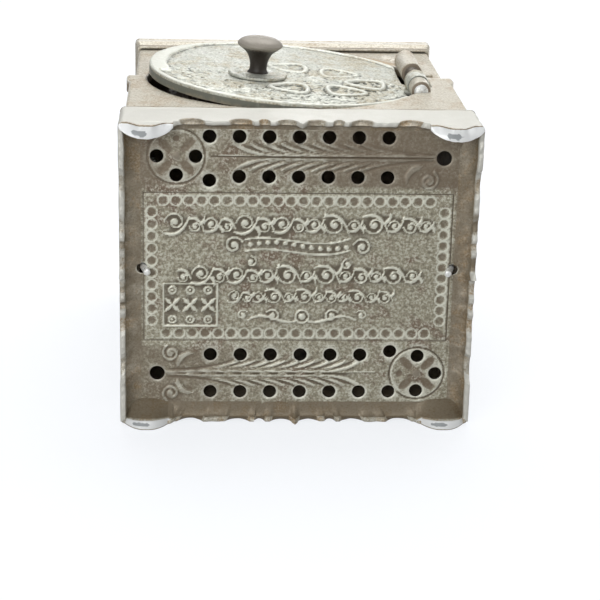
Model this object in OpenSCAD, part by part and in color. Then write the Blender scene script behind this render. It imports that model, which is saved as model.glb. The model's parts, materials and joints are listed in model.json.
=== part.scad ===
// Toy safe coin bank: a pierced base casting, four wall plates, a cornice top with a coin slot,
// and a round door with a knob lock. Upright on its feet, +Z up, door facing -Y, millimetres.

/* [Case] */
// Width of the base over its skirt
base_w = 90; // [80:1:110]
// Depth of the base over its skirt
base_d = 80; // [72:1:100]
// Height from the ends of the feet to the top of the cornice
safe_h = 108; // [104:1:130]
// Height of the base skirt
skirt_h = 17.7; // [14:0.1:20]
// Thickness of the side and back walls
wall_t = 2.4; // [2:0.1:3]
// Width of the side walls' flanks, inside the skirt
body_w = 85; // [76:0.5:104]

/* [Base] */
// How far the feet's round bottoms hang below their ends
foot_drop = 2.2; // [1:0.1:3]
// Radius of the round vent holes
hole_r = 1.7; // [1:0.1:2]
// Radius of the single hole at one end of each band
end_hole_r = 1.9; // [1:0.1:2.2]
// Radius of the ring of three holes in each rosette
rosette_r = 4.8; // [4:0.1:6]

/* [Coin slot] */
// Length of the slot
slot_l = 32; // [26:1:40]
// Width of the slot
slot_w = 4.6; // [4.4:0.1:6]
// How far the slot sits forward of the middle
slot_forward = 3.4; // [0:0.1:6]

/* [Door] */
// Radius of the opening in the front
opening_r = 38.2; // [38:0.1:38.6]
// Radius of the door
door_r = 37.4; // [37:0.1:37.4]
// How far the door stands open at rest, in degrees
ajar = 4.2; // [3:0.1:4.5]
// Thickness of the door plate
door_t = 2.4; // [2.2:0.1:2.5]
// Radius of the hinge knuckles
knuckle_r = 3.1; // [2.8:0.1:3.3]

/* [Knob] */
// Radius of the knob's cap
knob_r = 6.15; // [5:0.05:7]
// Height of the knob over the dial
knob_h = 9.8; // [8:0.1:11]
// Radius of the scalloped dial
dial_r = 8; // [7:0.1:9]

/* [Hidden] */
$fn = 64;

iron = [0.55, 0.52, 0.47];
nickel = [0.72, 0.70, 0.66];
dark_iron = [0.30, 0.27, 0.24];
steel = [0.66, 0.66, 0.68];

// Base: a skirt with feet and scalloped aprons round a pierced floor.
corner_r = 1.4;
floor_z = 5;
floor_t = 3;
walls_z = floor_z + floor_t;
side_skirt_t = (base_w - body_w) / 2;
front_skirt_t = 2.4;
body_d = base_d - 2 * front_skirt_t;
apron_z = 3.4;
foot_chord = 13.5;
foot_sagitta = 3.4;
foot_r = (pow(foot_chord / 2, 2) + pow(foot_sagitta, 2)) / (2 * foot_sagitta);
foot_curve_r = 8.7;
foot_flat = 0.15;
drop_r = 2.6;
lobe_r = 2.1;
lobe_x = 25;

// Vent bands: two rows of seven holes, with a rosette at one end and a single hole at the other.
// Each band: y, middle of its rows, pitch, rosette x, single hole x, angles of the rosette's holes.
// The hole of the rows that is nearest both the rosette and the middle stands a little out of line.
row_holes = 7;
row_offset = 5.1;
row_nudge = 1;
near_band = [-30.5, -0.4, 7.4, -30.8, 35.8, [0, 90, 180]];
far_band = [27, 1.1, 7.7, 31.4, -35.6, [-90, 0, 90]];

// Walls and cornice.
front_t = 2.6;
front_y = -body_d / 2;
belt_t = 1.8;
belt_low = 20;
belt_high = 62;
cornice_w = 88;
cornice_d = 79;
cornice_h = 9;
cap_t = 3;
walls_top = safe_h - cap_t;
cornice_z = safe_h - cornice_h;

// Door opening and door.
opening_x = -1.3;
opening_z = 61;
door_y = front_y + 0.7;
door_back = door_y + door_t;
rim_w = 1.2;
rim_t = 0.7;

// Hinge: two knuckles on the front frame with the door's knuckle between them.
hinge_x = 34.2;
hinge_y = -38.6;
pin_r = 1.2;
pin_fit = 0.06;
pin_head_r = 1.9;
pin_head_t = 1;
knuckle_gap = 0.35;
door_knuckle = [50.3, 57.7];
upper_knuckle = [door_knuckle[1] + knuckle_gap, 84.3];
lower_knuckle = [44, door_knuckle[0] - knuckle_gap];
notch_x = 30.2;

// Lock: the knob turns a crank, whose pin slides the bolt behind the strike plate.
knob_x = -9.3;
knob_z = 54.5;
spindle_r = 1.6;
spindle_fit = 0.06;
dial_t = 0.9;
dial_y = door_y - 0.1;
crank_r = 5.4;
crank_y = door_back + 0.4;
crank_t = 1.7;
stroke = 5;
pin_arm = stroke / sqrt(2);
crank_pin_r = 1;
slot_fit = 0.25;
bolt_y = -31.3;
bolt_t = 2;
bolt_half = 2.5;
bolt_tip = -32.9;
yoke_w = 9.5;
yoke_top = 6.6;
case_t = 1;
case_x = [-29, 1];
case_z = [46.5, 65];
case_back = -27.6;
ear_x = -14;
ear_w = 7;
ear_l = 5;
screw_r = 1.1;
screw_head_r = 2;
strike_t = 0.8;
strike_lip = 4.8;
strike_z = [50, 59];
rivet_r = 0.9;

// Tie rods hold the cornice down on the base.
rod_x = 39;
rod_y = -1.4;
rod_r = 1;
rod_head_r = 2.2;
rod_head_t = 1;
rod_well = 0.4;
rod_well_shift = 0.3;

module rounded_rect(w, d, r) {
    square([w - 2 * r, d], center = true);
    square([w, d - 2 * r], center = true);
    for (x = [-1, 1], y = [-1, 1])
        translate([x * (w / 2 - r), y * (d / 2 - r)]) circle(r = r);
}

// A cylinder along Y that starts at y and runs towards +Y.
module along_y(x, y, z, r, h) {
    translate([x, y, z]) rotate([-90, 0, 0]) cylinder(r = r, h = h);
}

// A box from its low corner to its high corner.
module span(low, high) {
    translate(low) cube(high - low);
}

// Turns a part of the door from closed to where it stands at rest.
module at_rest() {
    translate([hinge_x, hinge_y, 0]) rotate([0, 0, ajar]) translate([-hinge_x, -hinge_y, 0]) children();
}

module vent_band(y, row_x, pitch, flower_x, end_x, angles) {
    half = (row_holes - 1) / 2;
    for (i = [-half : half], row = [-1, 1]) {
        nudge = i * sign(flower_x) == half && row * y < 0 ? row * row_nudge : 0;
        translate([row_x + i * pitch, y + row * row_offset + nudge]) circle(r = hole_r);
    }
    translate([end_x, y]) circle(r = end_hole_r);
    for (a = angles) translate([flower_x + rosette_r * cos(a), y + rosette_r * sin(a)]) circle(r = hole_r);
}

module vents() {
    for (b = [near_band, far_band]) vent_band(b[0], b[1], b[2], b[3], b[4], b[5]);
}

// The apron's lower edge: a drop in the middle and a small lobe towards each foot.
module apron_lobes(length, lobe, thick) {
    rotate([90, 0, 0]) linear_extrude(thick) {
        translate([0, apron_z + 0.3]) circle(r = drop_r);
        for (x = [-1, 1]) translate([x * lobe, apron_z + 0.3]) circle(r = lobe_r);
        translate([-length / 2, apron_z + 0.2]) square([length, drop_r + lobe_r]);
    }
}

// A foot: a lens in plan, with a round bottom that is worn flat where it stands.
module foot_segment() {
    foot_x = base_w / 2 - foot_chord / 2;
    intersection() {
        translate([0, 0, -foot_drop]) linear_extrude(floor_z + foot_drop)
            translate([foot_x, -(base_d / 2 + foot_r - foot_sagitta)]) circle(r = foot_r);
        translate([0, 0, -foot_drop]) linear_extrude(floor_z + foot_drop)
            rounded_rect(base_w, base_d, corner_r);
        along_y(foot_x, -base_d, foot_curve_r - foot_flat - foot_drop, foot_curve_r, 2 * base_d);
    }
}

module skirt() {
    difference() {
        translate([0, 0, apron_z]) linear_extrude(skirt_h - apron_z) rounded_rect(base_w, base_d, corner_r);
        translate([0, 0, -1]) linear_extrude(skirt_h + 2) square([body_w, body_d], center = true);
    }
}

module base() {
    color(iron) difference() {
        union() {
            skirt();
            for (x = [0, 1], y = [0, 1]) mirror([x, 0]) mirror([0, y]) foot_segment();
            for (y = [0, 1]) mirror([0, y]) translate([0, -body_d / 2, 0])
                apron_lobes(base_w - 30, lobe_x, front_skirt_t);
            for (x = [0, 1]) mirror([x, 0]) translate([body_w / 2, 0, 0]) rotate([0, 0, 90])
                apron_lobes(base_d - 30, lobe_x - 4, side_skirt_t);
            translate([0, 0, floor_z]) linear_extrude(floor_t) square([body_w, body_d], center = true);
        }
        translate([0, 0, floor_z - 1]) linear_extrude(floor_t + 2) vents();
        for (x = [-1, 1]) translate([x * rod_x, rod_y, floor_z - 1]) {
            cylinder(r = rod_r, h = floor_t + 2);
            translate([x * rod_well_shift, 0, 0]) cylinder(r = rod_r + rod_well, h = 2.5);
        }
    }
}

module side_wall(side) {
    inner = body_w / 2 - wall_t;
    span([side > 0 ? inner : -body_w / 2, front_y + front_t, walls_z],
         [side > 0 ? body_w / 2 : -inner, -front_y - wall_t, walls_top]);
    span([side > 0 ? body_w / 2 - 1 : -body_w / 2 - belt_t, front_y + front_t, belt_low],
         [side > 0 ? body_w / 2 + belt_t : 1 - body_w / 2, -front_y - wall_t, belt_high]);
}

module strike_rivet_holes(grow) {
    for (z = strike_rivet_z) translate([-body_w / 2 + 0.6, strike_rivet_y, z]) rotate([0, 90, 0])
        cylinder(r = rivet_r, h = wall_t - 0.6 + strike_t + grow);
}
strike_rivet_y = -26.5;
strike_rivet_z = [strike_z[0] + 2, strike_z[1] - 2];

module left_side() {
    color(nickel) difference() {
        side_wall(-1);
        strike_rivet_holes(0);
    }
}

module right_side() {
    color(nickel) side_wall(1);
}

module back_plate() {
    color(nickel) {
        span([-body_w / 2, -front_y - wall_t, walls_z], [body_w / 2, -front_y, walls_top]);
        span([-body_w / 2 + 6, -front_y - 1, belt_low + 4], [body_w / 2 - 6, -front_y + 0.6, cornice_z - 5]);
    }
}

// A stop that the closed door rests against, at an angle round the opening.
module door_stop(angle) {
    translate([opening_x, 0, opening_z]) rotate([0, -angle, 0]) {
        span([opening_r - 2, door_back + 0.3, -2], [opening_r + 1.9, door_back + 1.5, 2]);
        span([opening_r + 0.4, front_y + front_t - 0.5, -2], [opening_r + 1.9, door_back + 1.5, 2]);
    }
}

module frame_knuckle(z) {
    translate([hinge_x, hinge_y, z[0]]) cylinder(r = knuckle_r, h = z[1] - z[0]);
    span([hinge_x, hinge_y, z[0]], [hinge_x + 6, front_y + front_t, z[1]]);
}

// The front's lower edge is cut away over the first row of vent holes.
vent_relief_x = 32;
vent_relief_h = 6;

module front_frame() {
    color(nickel) difference() {
        union() {
            difference() {
                span([-body_w / 2, front_y, walls_z], [body_w / 2, front_y + front_t, walls_top]);
                along_y(opening_x, front_y - 1, opening_z, opening_r, front_t + 2);
                span([-vent_relief_x, front_y - 1, walls_z - 1],
                     [vent_relief_x, front_y + front_t + 1, walls_z + vent_relief_h]);
            }
            frame_knuckle(upper_knuckle);
            frame_knuckle(lower_knuckle);
            door_stop(150);
            door_stop(210);
        }
        translate([hinge_x, hinge_y, 0]) cylinder(r = pin_r, h = safe_h);
        translate([hinge_x, hinge_y, lower_knuckle[1]])
            cylinder(r = knuckle_r + 0.4, h = upper_knuckle[0] - lower_knuckle[1]);
        translate([hinge_x, hinge_y, lower_knuckle[0] - 2 * pin_head_t])
            cylinder(r = pin_head_r + 0.2, h = 2 * pin_head_t);
    }
}

module top_plate() {
    color(nickel) difference() {
        translate([0, 0, cornice_z]) linear_extrude(cornice_h)
            rounded_rect(cornice_w, cornice_d, corner_r / 2);
        translate([0, 0, cornice_z - 1]) linear_extrude(walls_top - cornice_z + 1)
            square([body_w, body_d], center = true);
        translate([0, -slot_forward, walls_top - 1]) linear_extrude(cap_t + 2)
            square([slot_l, slot_w], center = true);
        for (x = [-1, 1]) translate([x * rod_x, rod_y, walls_top - 1]) {
            cylinder(r = rod_r, h = cap_t + 2);
            translate([0, 0, 1 + cap_t - rod_head_t]) cylinder(r = rod_head_r, h = cap_t);
        }
    }
}

module tie_rod(x) {
    color(steel) translate([x, rod_y, 0]) {
        translate([0, 0, floor_z + 0.4]) cylinder(r = rod_r, h = safe_h - floor_z - 0.6);
        translate([0, 0, safe_h - rod_head_t]) cylinder(r = rod_head_r, h = rod_head_t - 0.2);
    }
}

module left_tie_rod() {
    tie_rod(-rod_x);
}

module right_tie_rod() {
    tie_rod(rod_x);
}

module hinge_pin() {
    color(steel) translate([hinge_x, hinge_y, lower_knuckle[0]]) {
        cylinder(r = pin_r, h = upper_knuckle[1] - lower_knuckle[0]);
        translate([0, 0, -pin_head_t]) cylinder(r = pin_head_r, h = pin_head_t);
    }
}

// A bent plate on the left wall: the bolt slides in behind its lip.
module strike_plate() {
    wall_x = -body_w / 2 + wall_t;
    lip_y = bolt_y - 0.3 - strike_t;
    color(steel) difference() {
        union() {
            span([wall_x, lip_y, strike_z[0]], [wall_x + strike_t, -22.5, strike_z[1]]);
            span([wall_x, lip_y, strike_z[0]], [wall_x + strike_lip, lip_y + strike_t, strike_z[1]]);
        }
        strike_rivet_holes(1);
    }
}

module strike_rivets() {
    color(steel) {
        strike_rivet_holes(0);
        for (z = strike_rivet_z) translate([-body_w / 2 + wall_t + strike_t, strike_rivet_y, z])
            rotate([0, 90, 0]) cylinder(r = rivet_r + 0.6, h = 0.5);
    }
}

module lock_case_holes() {
    for (z = screw_z) along_y(ear_x, door_y + 0.8, z, screw_r, door_t + 2);
}
screw_z = [case_z[0] - ear_l / 2, case_z[1] + ear_l / 2];

module door_plate() {
    color(nickel) at_rest() difference() {
        union() {
            difference() {
                along_y(opening_x, door_y, opening_z, door_r, door_t);
                span([notch_x, door_y - 1, door_knuckle[1]], [base_w, door_back + 1, safe_h]);
                span([notch_x, door_y - 1, 0], [base_w, door_back + 1, door_knuckle[0]]);
            }
            difference() {
                along_y(opening_x, door_y - rim_t, opening_z, door_r, rim_t + 0.1);
                along_y(opening_x, door_y - rim_t - 1, opening_z, door_r - rim_w, rim_t + 2);
                span([notch_x - 5, door_y - 2, 0], [base_w, door_back, safe_h]);
            }
            translate([hinge_x, hinge_y, door_knuckle[0]])
                cylinder(r = knuckle_r, h = door_knuckle[1] - door_knuckle[0]);
        }
        translate([hinge_x, hinge_y, 0]) cylinder(r = pin_r + pin_fit, h = safe_h);
        along_y(knob_x, door_y - 1, knob_z, spindle_r + spindle_fit, door_t + 2);
        lock_case_holes();
        detent_rivet_shape(0);
    }
}

// A thin housing over the crank and bolt, with an ear above and below for its screws.
module lock_case() {
    color(dark_iron) at_rest() difference() {
        union() {
            span([case_x[0], door_back, case_z[0]], [case_x[1], case_back, case_z[1]]);
            span([ear_x - ear_w / 2, door_back, case_z[0] - ear_l],
                 [ear_x + ear_w / 2, door_back + case_t, case_z[1] + ear_l]);
        }
        span([case_x[0] + case_t, door_back - 1, case_z[0] + case_t],
             [case_x[1] - case_t, case_back - case_t, case_z[1] - case_t]);
        span([case_x[0] - 1, bolt_y - 0.3, knob_z - bolt_half - 0.3],
             [case_x[0] + case_t + 1, bolt_y + bolt_t + 0.3, knob_z + bolt_half + 0.3]);
        lock_case_holes();
    }
}

module lock_case_screws() {
    color(steel) at_rest() for (z = screw_z) difference() {
        union() {
            along_y(ear_x, door_y + 0.8, z, screw_r, door_back + case_t - door_y - 0.8);
            along_y(ear_x, door_back + case_t, z, screw_head_r, 1.2);
        }
        span([ear_x - 3, door_back + case_t + 0.7, z - 0.3], [ear_x + 3, door_back + case_t + 2, z + 0.3]);
    }
}

// The leaf that clicks on the crank's rim, and the rivet that holds its foot.
spring_t = 0.4;
spring_z = knob_z + crank_r + 0.3;
spring_x = [-20, -3];
spring_y = [door_back, door_back + 1.8];

module detent_rivet_shape(head) {
    along_y(spring_x[0] + 2, door_y + 0.8, spring_z - 2, rivet_r, door_back + spring_t - door_y - 0.8);
    if (head > 0) along_y(spring_x[0] + 2, door_back + spring_t, spring_z - 2, rivet_r + 0.5, 0.5);
}

module detent_spring() {
    color(steel) at_rest() difference() {
        union() {
            span([spring_x[0], spring_y[0], spring_z], [spring_x[1], spring_y[1], spring_z + spring_t]);
            span([spring_x[0], spring_y[0], spring_z - 4],
                 [spring_x[0] + 4, door_back + spring_t, spring_z + spring_t]);
        }
        detent_rivet_shape(0);
    }
}

module detent_rivet() {
    color(steel) at_rest() detent_rivet_shape(1);
}

module spindle_washer() {
    color(steel) at_rest() difference() {
        along_y(knob_x, door_back + 0.05, knob_z, spindle_r + 1.4, crank_y - door_back - 0.1);
        along_y(knob_x, door_back - 1, knob_z, spindle_r + 0.06, 3);
    }
}

// A thin disc with a scalloped rim under the knob.
module dial() {
    scallops = 12;
    color(nickel) at_rest() translate([knob_x, dial_y, knob_z]) rotate([90, 0, 0]) linear_extrude(dial_t)
        difference() {
            union() {
                circle(r = dial_r - 0.6);
                for (i = [0 : scallops - 1])
                    rotate(i * 360 / scallops) translate([dial_r - 1.6, 0]) circle(r = 1.6);
            }
            circle(r = spindle_r);
        }
}

module knob() {
    color(dark_iron) at_rest() translate([knob_x, dial_y - dial_t, knob_z]) rotate([90, 0, 0]) rotate_extrude()
        polygon([
            [spindle_r, 0], [4.4, 0], [3.6, 0.8], [3.0, 2.0], [2.7, 3.6], [2.9, 5.0], [3.8, 6.1],
            [knob_r - 0.5, 6.9], [knob_r, 7.6], [knob_r - 0.3, 8.5], [knob_r - 1.6, 9.3],
            [knob_r - 3.6, knob_h - 0.1], [0, knob_h], [0, 6], [spindle_r, 6]
        ]);
}

module spindle() {
    color(steel) at_rest() along_y(knob_x, dial_y - dial_t - 6, knob_z, spindle_r,
        crank_y + crank_t + 0.4 - (dial_y - dial_t - 6));
}

// The crank pin's place round the spindle while the bolt is drawn back.
pin_x = knob_x + stroke / 2;
pin_z = knob_z + sqrt(pow(pin_arm, 2) - pow(stroke / 2, 2));

module crank() {
    color(steel) at_rest() difference() {
        along_y(knob_x, crank_y, knob_z, crank_r, crank_t);
        along_y(knob_x, crank_y - 1, knob_z, spindle_r, crank_t + 2);
        along_y(pin_x, crank_y - 1, pin_z, crank_pin_r, crank_t + 2);
    }
}

module crank_pin() {
    color(steel) at_rest() along_y(pin_x, crank_y, pin_z, crank_pin_r, bolt_y + bolt_t + 0.4 - crank_y);
}

// A flat bar whose slotted yoke rides on the crank pin.
module bolt() {
    slot_r = crank_pin_r + slot_fit;
    slot_low = pin_z - 0.35;
    slot_high = knob_z + pin_arm + 0.35;
    color(steel) at_rest() difference() {
        union() {
            span([bolt_tip, bolt_y, knob_z - bolt_half], [pin_x + 4, bolt_y + bolt_t, knob_z + bolt_half]);
            span([pin_x + 4 - yoke_w, bolt_y, knob_z - bolt_half],
                 [pin_x + 4, bolt_y + bolt_t, knob_z + yoke_top]);
        }
        for (z = [slot_low, slot_high]) along_y(pin_x, bolt_y - 1, z, slot_r, bolt_t + 2);
        span([pin_x - slot_r, bolt_y - 1, slot_low], [pin_x + slot_r, bolt_y + bolt_t + 1, slot_high]);
    }
}

// Heights above are from the ends of the feet. The safe stands on their bottoms, foot_drop lower.
module stand() {
    translate([0, 0, foot_drop]) children();
}

stand() base();
stand() left_side();
stand() right_side();
stand() back_plate();
stand() front_frame();
stand() top_plate();
stand() left_tie_rod();
stand() right_tie_rod();
stand() hinge_pin();
stand() strike_plate();
stand() strike_rivets();
stand() door_plate();
stand() lock_case();
stand() lock_case_screws();
stand() detent_spring();
stand() detent_rivet();
stand() spindle_washer();
stand() dial();
stand() knob();
stand() spindle();
stand() crank();
stand() crank_pin();
stand() bolt();
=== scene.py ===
import json
import math

import bpy
import bmesh
import numpy as np
from mathutils import Matrix, Vector


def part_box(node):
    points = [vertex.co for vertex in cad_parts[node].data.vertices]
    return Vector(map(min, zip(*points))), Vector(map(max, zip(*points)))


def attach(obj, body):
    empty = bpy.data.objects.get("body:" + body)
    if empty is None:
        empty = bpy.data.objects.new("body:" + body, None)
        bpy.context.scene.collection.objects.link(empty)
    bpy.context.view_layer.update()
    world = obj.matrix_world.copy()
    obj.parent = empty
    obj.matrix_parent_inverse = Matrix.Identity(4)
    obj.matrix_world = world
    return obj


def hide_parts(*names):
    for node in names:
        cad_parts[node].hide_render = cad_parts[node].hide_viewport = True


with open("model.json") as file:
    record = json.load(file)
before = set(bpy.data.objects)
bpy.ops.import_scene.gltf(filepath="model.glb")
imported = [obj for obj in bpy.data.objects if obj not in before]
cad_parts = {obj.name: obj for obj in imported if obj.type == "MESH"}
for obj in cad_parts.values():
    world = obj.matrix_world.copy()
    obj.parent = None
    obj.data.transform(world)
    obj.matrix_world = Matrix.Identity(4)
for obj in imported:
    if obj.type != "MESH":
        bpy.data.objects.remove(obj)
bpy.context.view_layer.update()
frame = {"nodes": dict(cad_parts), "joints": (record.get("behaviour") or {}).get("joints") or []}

# Lengths below are in millimetres, and become metres when a mesh is made.
MM = 0.001
# Heights below are from a level LIFT above the feet's bottoms, and keep() lifts each piece by that much.
LIFT = 2.2


def node_box(name):
    """A node's lowest and highest corners in millimetres, with heights from the level LIFT above z = 0."""
    low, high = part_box(name)
    down = np.array([0, 0, LIFT])
    return np.array(low) / MM - down, np.array(high) / MM - down


def joint(name):
    return next(j for j in frame["joints"] if j["name"] == name)


BASE_LOW, BASE_HIGH = node_box("base")
FRONT_LOW, FRONT_HIGH = node_box("front_frame")
TOP_LOW, TOP_HIGH = node_box("top_plate")
SIDE_LOW, SIDE_HIGH = node_box("right_side")
BACK_LOW, BACK_HIGH = node_box("back_plate")
HINGE_X, HINGE_Y = (v / MM for v in joint("door_hinge")["pos_m"][:2])
AJAR = math.radians(-joint("door_hinge")["range_deg"][0])

FLOOR_Z, FLOOR_T = 5.0, 3.0
BODY_W, BODY_D = 85.0, 75.2
FRONT_Y, FRONT_T = -BODY_D / 2, 2.6
WALL_T = 2.4
DOOR_Y, DOOR_T, DOOR_R = FRONT_Y + 0.7, 2.4, 37.4
OPENING_X, OPENING_Z, OPENING_R = -1.3, 61.0, 38.2
KNOB_X, KNOB_Z = -9.3, 54.5
KNUCKLE_R = 3.1
DOOR_KNUCKLE = (50.3, 57.7)
SKIRT_TOP = BASE_HIGH[2]
VENT_R, END_VENT_R = 1.7, 1.9
NEAR_BAND, FAR_BAND = 30.5, -27.0
NEAR_FLOWER, FAR_FLOWER = -30.8, 31.4
NEAR_END, FAR_END = 35.8, -35.6
SLOT_Y, SLOT_HALF_W, SLOT_HALF_D = -3.4, 16, 2.3
WELL_Y = -1.4
CORNER_R = 1.4
WALL_LOW = 8.0
BELT_LOW, BELT_HIGH = 20, 62
UPPER_KNUCKLE = (66.3, 84.3)
KNUCKLE_GAP = 0.35
LOWER_KNUCKLE = (44.0, DOOR_KNUCKLE[0] - KNUCKLE_GAP)
FOOT_HALF = 6.75
UPWARDS, FORWARDS = (0, 0, 1), (0, -1, 0)
# Directions of a plate's u, v and outer normal.
FRONT_AXES = ((1, 0, 0), (0, 0, 1), (0, -1, 0))
BACK_AXES = ((-1, 0, 0), (0, 0, 1), (0, 1, 0))
UP_AXES = ((1, 0, 0), (0, 1, 0), (0, 0, 1))
DOWN_AXES = ((1, 0, 0), (0, -1, 0), (0, 0, -1))


# ---------------------------------------------------------------- materials


class Shader:
    """Builds one node material by short calls."""

    def __init__(self, name):
        self.material = bpy.data.materials.new(name)
        self.material.use_nodes = True
        self.tree = self.material.node_tree
        self.surface = self.tree.nodes["Principled BSDF"]
        coordinates = self.tree.nodes.new("ShaderNodeTexCoord")
        self.place = coordinates.outputs["Object"]

    def plug(self, socket, value):
        if isinstance(value, bpy.types.NodeSocket):
            self.tree.links.new(value, socket)
        else:
            socket.default_value = value

    def noise(self, size, detail=4.0, rough=0.6, stretch=None):
        """Noise from 0 to 1 with features of about size millimetres."""
        node = self.tree.nodes.new("ShaderNodeTexNoise")
        place = self.place
        if stretch:
            scale = self.tree.nodes.new("ShaderNodeMapping")
            scale.inputs["Scale"].default_value = stretch
            self.tree.links.new(place, scale.inputs["Vector"])
            place = scale.outputs["Vector"]
        self.tree.links.new(place, node.inputs["Vector"])
        node.inputs["Scale"].default_value = 1 / (size * MM)
        node.inputs["Detail"].default_value = detail
        node.inputs["Roughness"].default_value = rough
        return node.outputs["Fac"]

    def attribute(self, name):
        node = self.tree.nodes.new("ShaderNodeAttribute")
        node.attribute_name = name
        return node.outputs["Fac"]

    def ramp(self, value, low, high, to_low=0.0, to_high=1.0):
        node = self.tree.nodes.new("ShaderNodeMapRange")
        node.interpolation_type = "SMOOTHSTEP"
        for key, number in zip(("Value", "From Min", "From Max", "To Min", "To Max"),
                               (value, low, high, to_low, to_high)):
            self.plug(node.inputs[key], number)
        return node.outputs["Result"]

    def math(self, kind, a, b=0.0):
        node = self.tree.nodes.new("ShaderNodeMath")
        node.operation = kind
        self.plug(node.inputs[0], a)
        self.plug(node.inputs[1], b)
        return node.outputs[0]

    def mix(self, share, a, b):
        node = self.tree.nodes.new("ShaderNodeMix")
        node.data_type = "RGBA"
        self.plug(node.inputs[0], share)
        for socket, colour in ((node.inputs[6], a), (node.inputs[7], b)):
            self.plug(socket, colour if isinstance(colour, bpy.types.NodeSocket) else (*colour, 1))
        return node.outputs[2]

    def bump(self, height, depth, strength=1.0):
        node = self.tree.nodes.new("ShaderNodeBump")
        node.inputs["Strength"].default_value = strength
        node.inputs["Distance"].default_value = depth * MM
        self.tree.links.new(height, node.inputs["Height"])
        self.tree.links.new(node.outputs["Normal"], self.surface.inputs["Normal"])

    def finish(self, **inputs):
        for name, value in inputs.items():
            self.plug(self.surface.inputs[name.replace("_", " ")], value)
        return self.material


def srgb(r, g, b):
    """An sRGB colour given from 0 to 255, as linear values."""
    return tuple((c / 255 / 12.92) if c < 11 else ((c / 255 + 0.055) / 1.055) ** 2.4 for c in (r, g, b))


def aged_metal_with_painted_light(name, bright, dull, brown, dark, stain, wear=0.5, metal=0.6, rough=0.45, grain=0.35):
    """Plated iron: painted highlight on high spots, dull field, brown where the plate has gone, painted shade
    in recesses.

    The point attributes say where on the casting the painted light and the stain go. The painted light goes
    from -1, painted shade in recesses, to 1, a painted highlight on high spots, and is lower still on backs
    for deeper painted shade there; stain goes from 0 to 1.
    """
    s = Shader(name)
    # Painted light from a point attribute: a painted highlight where it is high, painted shade where it is
    # low.
    height = s.attribute("cavity")
    marked = s.attribute("stain")
    speck = s.noise(grain, 3, 0.75)
    mottle = s.noise(2.6, 5, 0.65)
    patch = s.noise(11, 4, 0.6)
    worn = s.math("ADD", s.math("MULTIPLY", patch, 0.55), s.math("MULTIPLY", mottle, 0.45))
    field = s.mix(s.ramp(worn, 0.60 - wear * 0.15, 0.46 - wear * 0.12), dull, brown)
    field = s.mix(s.ramp(speck, 0.50, 0.60), field, s.mix(0.6, field, bright))
    field = s.mix(s.ramp(speck, 0.47, 0.37), field, s.mix(0.55, field, dark))
    # Painted highlight: the bright colour on high spots.
    raised = s.ramp(s.math("ADD", height, s.math("MULTIPLY", speck, 0.35)), 0.28, 0.60)
    field = s.mix(raised, field, bright)
    # Painted shade: the dark colour in recesses and on backs.
    sunk = s.ramp(s.math("SUBTRACT", height, s.math("MULTIPLY", mottle, 0.25)), -0.22, -0.55)
    colour = s.mix(sunk, field, dark)
    spread = s.math("ADD", marked, s.math("MULTIPLY", s.math("SUBTRACT", mottle, 0.5), 0.9))
    colour = s.mix(s.ramp(spread, 0.25, 0.85, 0, 0.85), colour, stain)
    uneven = s.math("ADD", worn, s.math("MULTIPLY", speck, 0.4))
    roughness = s.ramp(uneven, 0.4, 0.9, rough + 0.22, rough - 0.08)
    metallic = s.ramp(sunk, 0, 1, metal, metal * 0.3)
    relief = s.math("ADD", s.math("MULTIPLY", speck, 0.7), s.math("MULTIPLY", mottle, 0.6))
    s.bump(relief, 0.16, 0.75)
    return s.finish(Base_Color=colour, Roughness=roughness, Metallic=metallic)


def steel_metal(name, light, dark, rough=0.35, metal=0.85):
    """Worn steel with fine streaks and stains."""
    s = Shader(name)
    streak = s.noise(0.5, 3, 0.6, stretch=(1, 1, 0.15))
    stain = s.noise(3.5, 4, 0.6)
    colour = s.mix(s.ramp(stain, 0.42, 0.62), dark, light)
    colour = s.mix(s.ramp(streak, 0.5, 0.7, 0, 0.5), colour, dark)
    s.bump(s.noise(0.3, 3), 0.05, 0.5)
    return s.finish(Base_Color=colour, Roughness=s.ramp(stain, 0.3, 0.7, rough + 0.2, rough), Metallic=metal)


BASE_METAL = aged_metal_with_painted_light("worn_iron", srgb(214, 214, 200), srgb(156, 151, 132), srgb(126, 110, 94),
                        srgb(92, 84, 70), srgb(116, 103, 86), wear=0.62, metal=0.35, rough=0.5, grain=0.7)
SKIRT_METAL = aged_metal_with_painted_light("skirt_iron", srgb(202, 201, 193), srgb(184, 179, 164), srgb(168, 146, 114),
                         srgb(100, 88, 70), srgb(112, 99, 78), wear=0.4, metal=0.35, rough=0.46, grain=0.5)
BODY_METAL = aged_metal_with_painted_light("worn_nickel", srgb(210, 206, 196), srgb(190, 184, 168), srgb(176, 162, 140),
                        srgb(128, 116, 100), srgb(170, 152, 126), wear=0.42, metal=0.4, rough=0.45, grain=0.6)
DOOR_METAL = aged_metal_with_painted_light("door_nickel", srgb(214, 215, 205), srgb(190, 192, 182), srgb(176, 168, 146),
                        srgb(104, 106, 96), srgb(168, 152, 128), wear=0.32, metal=0.4, rough=0.42, grain=0.6)
PAD_METAL = aged_metal_with_painted_light("pad_worn", srgb(238, 240, 240), srgb(226, 228, 226), srgb(206, 202, 188),
                       srgb(120, 104, 78), srgb(138, 143, 145), wear=0.2, metal=0.3, rough=0.42, grain=0.9)
KNOB_AND_SHADE_METAL = aged_metal_with_painted_light("dark_iron", srgb(150, 144, 134), srgb(104, 97, 88), srgb(78, 66, 55),
                        srgb(40, 34, 28), srgb(60, 52, 44), wear=0.5, metal=0.3, rough=0.46, grain=0.5)
STEEL = steel_metal("steel", srgb(205, 204, 198), srgb(112, 104, 94))
SHEET_IRON = steel_metal("sheet_iron", srgb(120, 114, 104), srgb(58, 50, 42), rough=0.5, metal=0.7)


# ---------------------------------------------------------------- meshes


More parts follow.
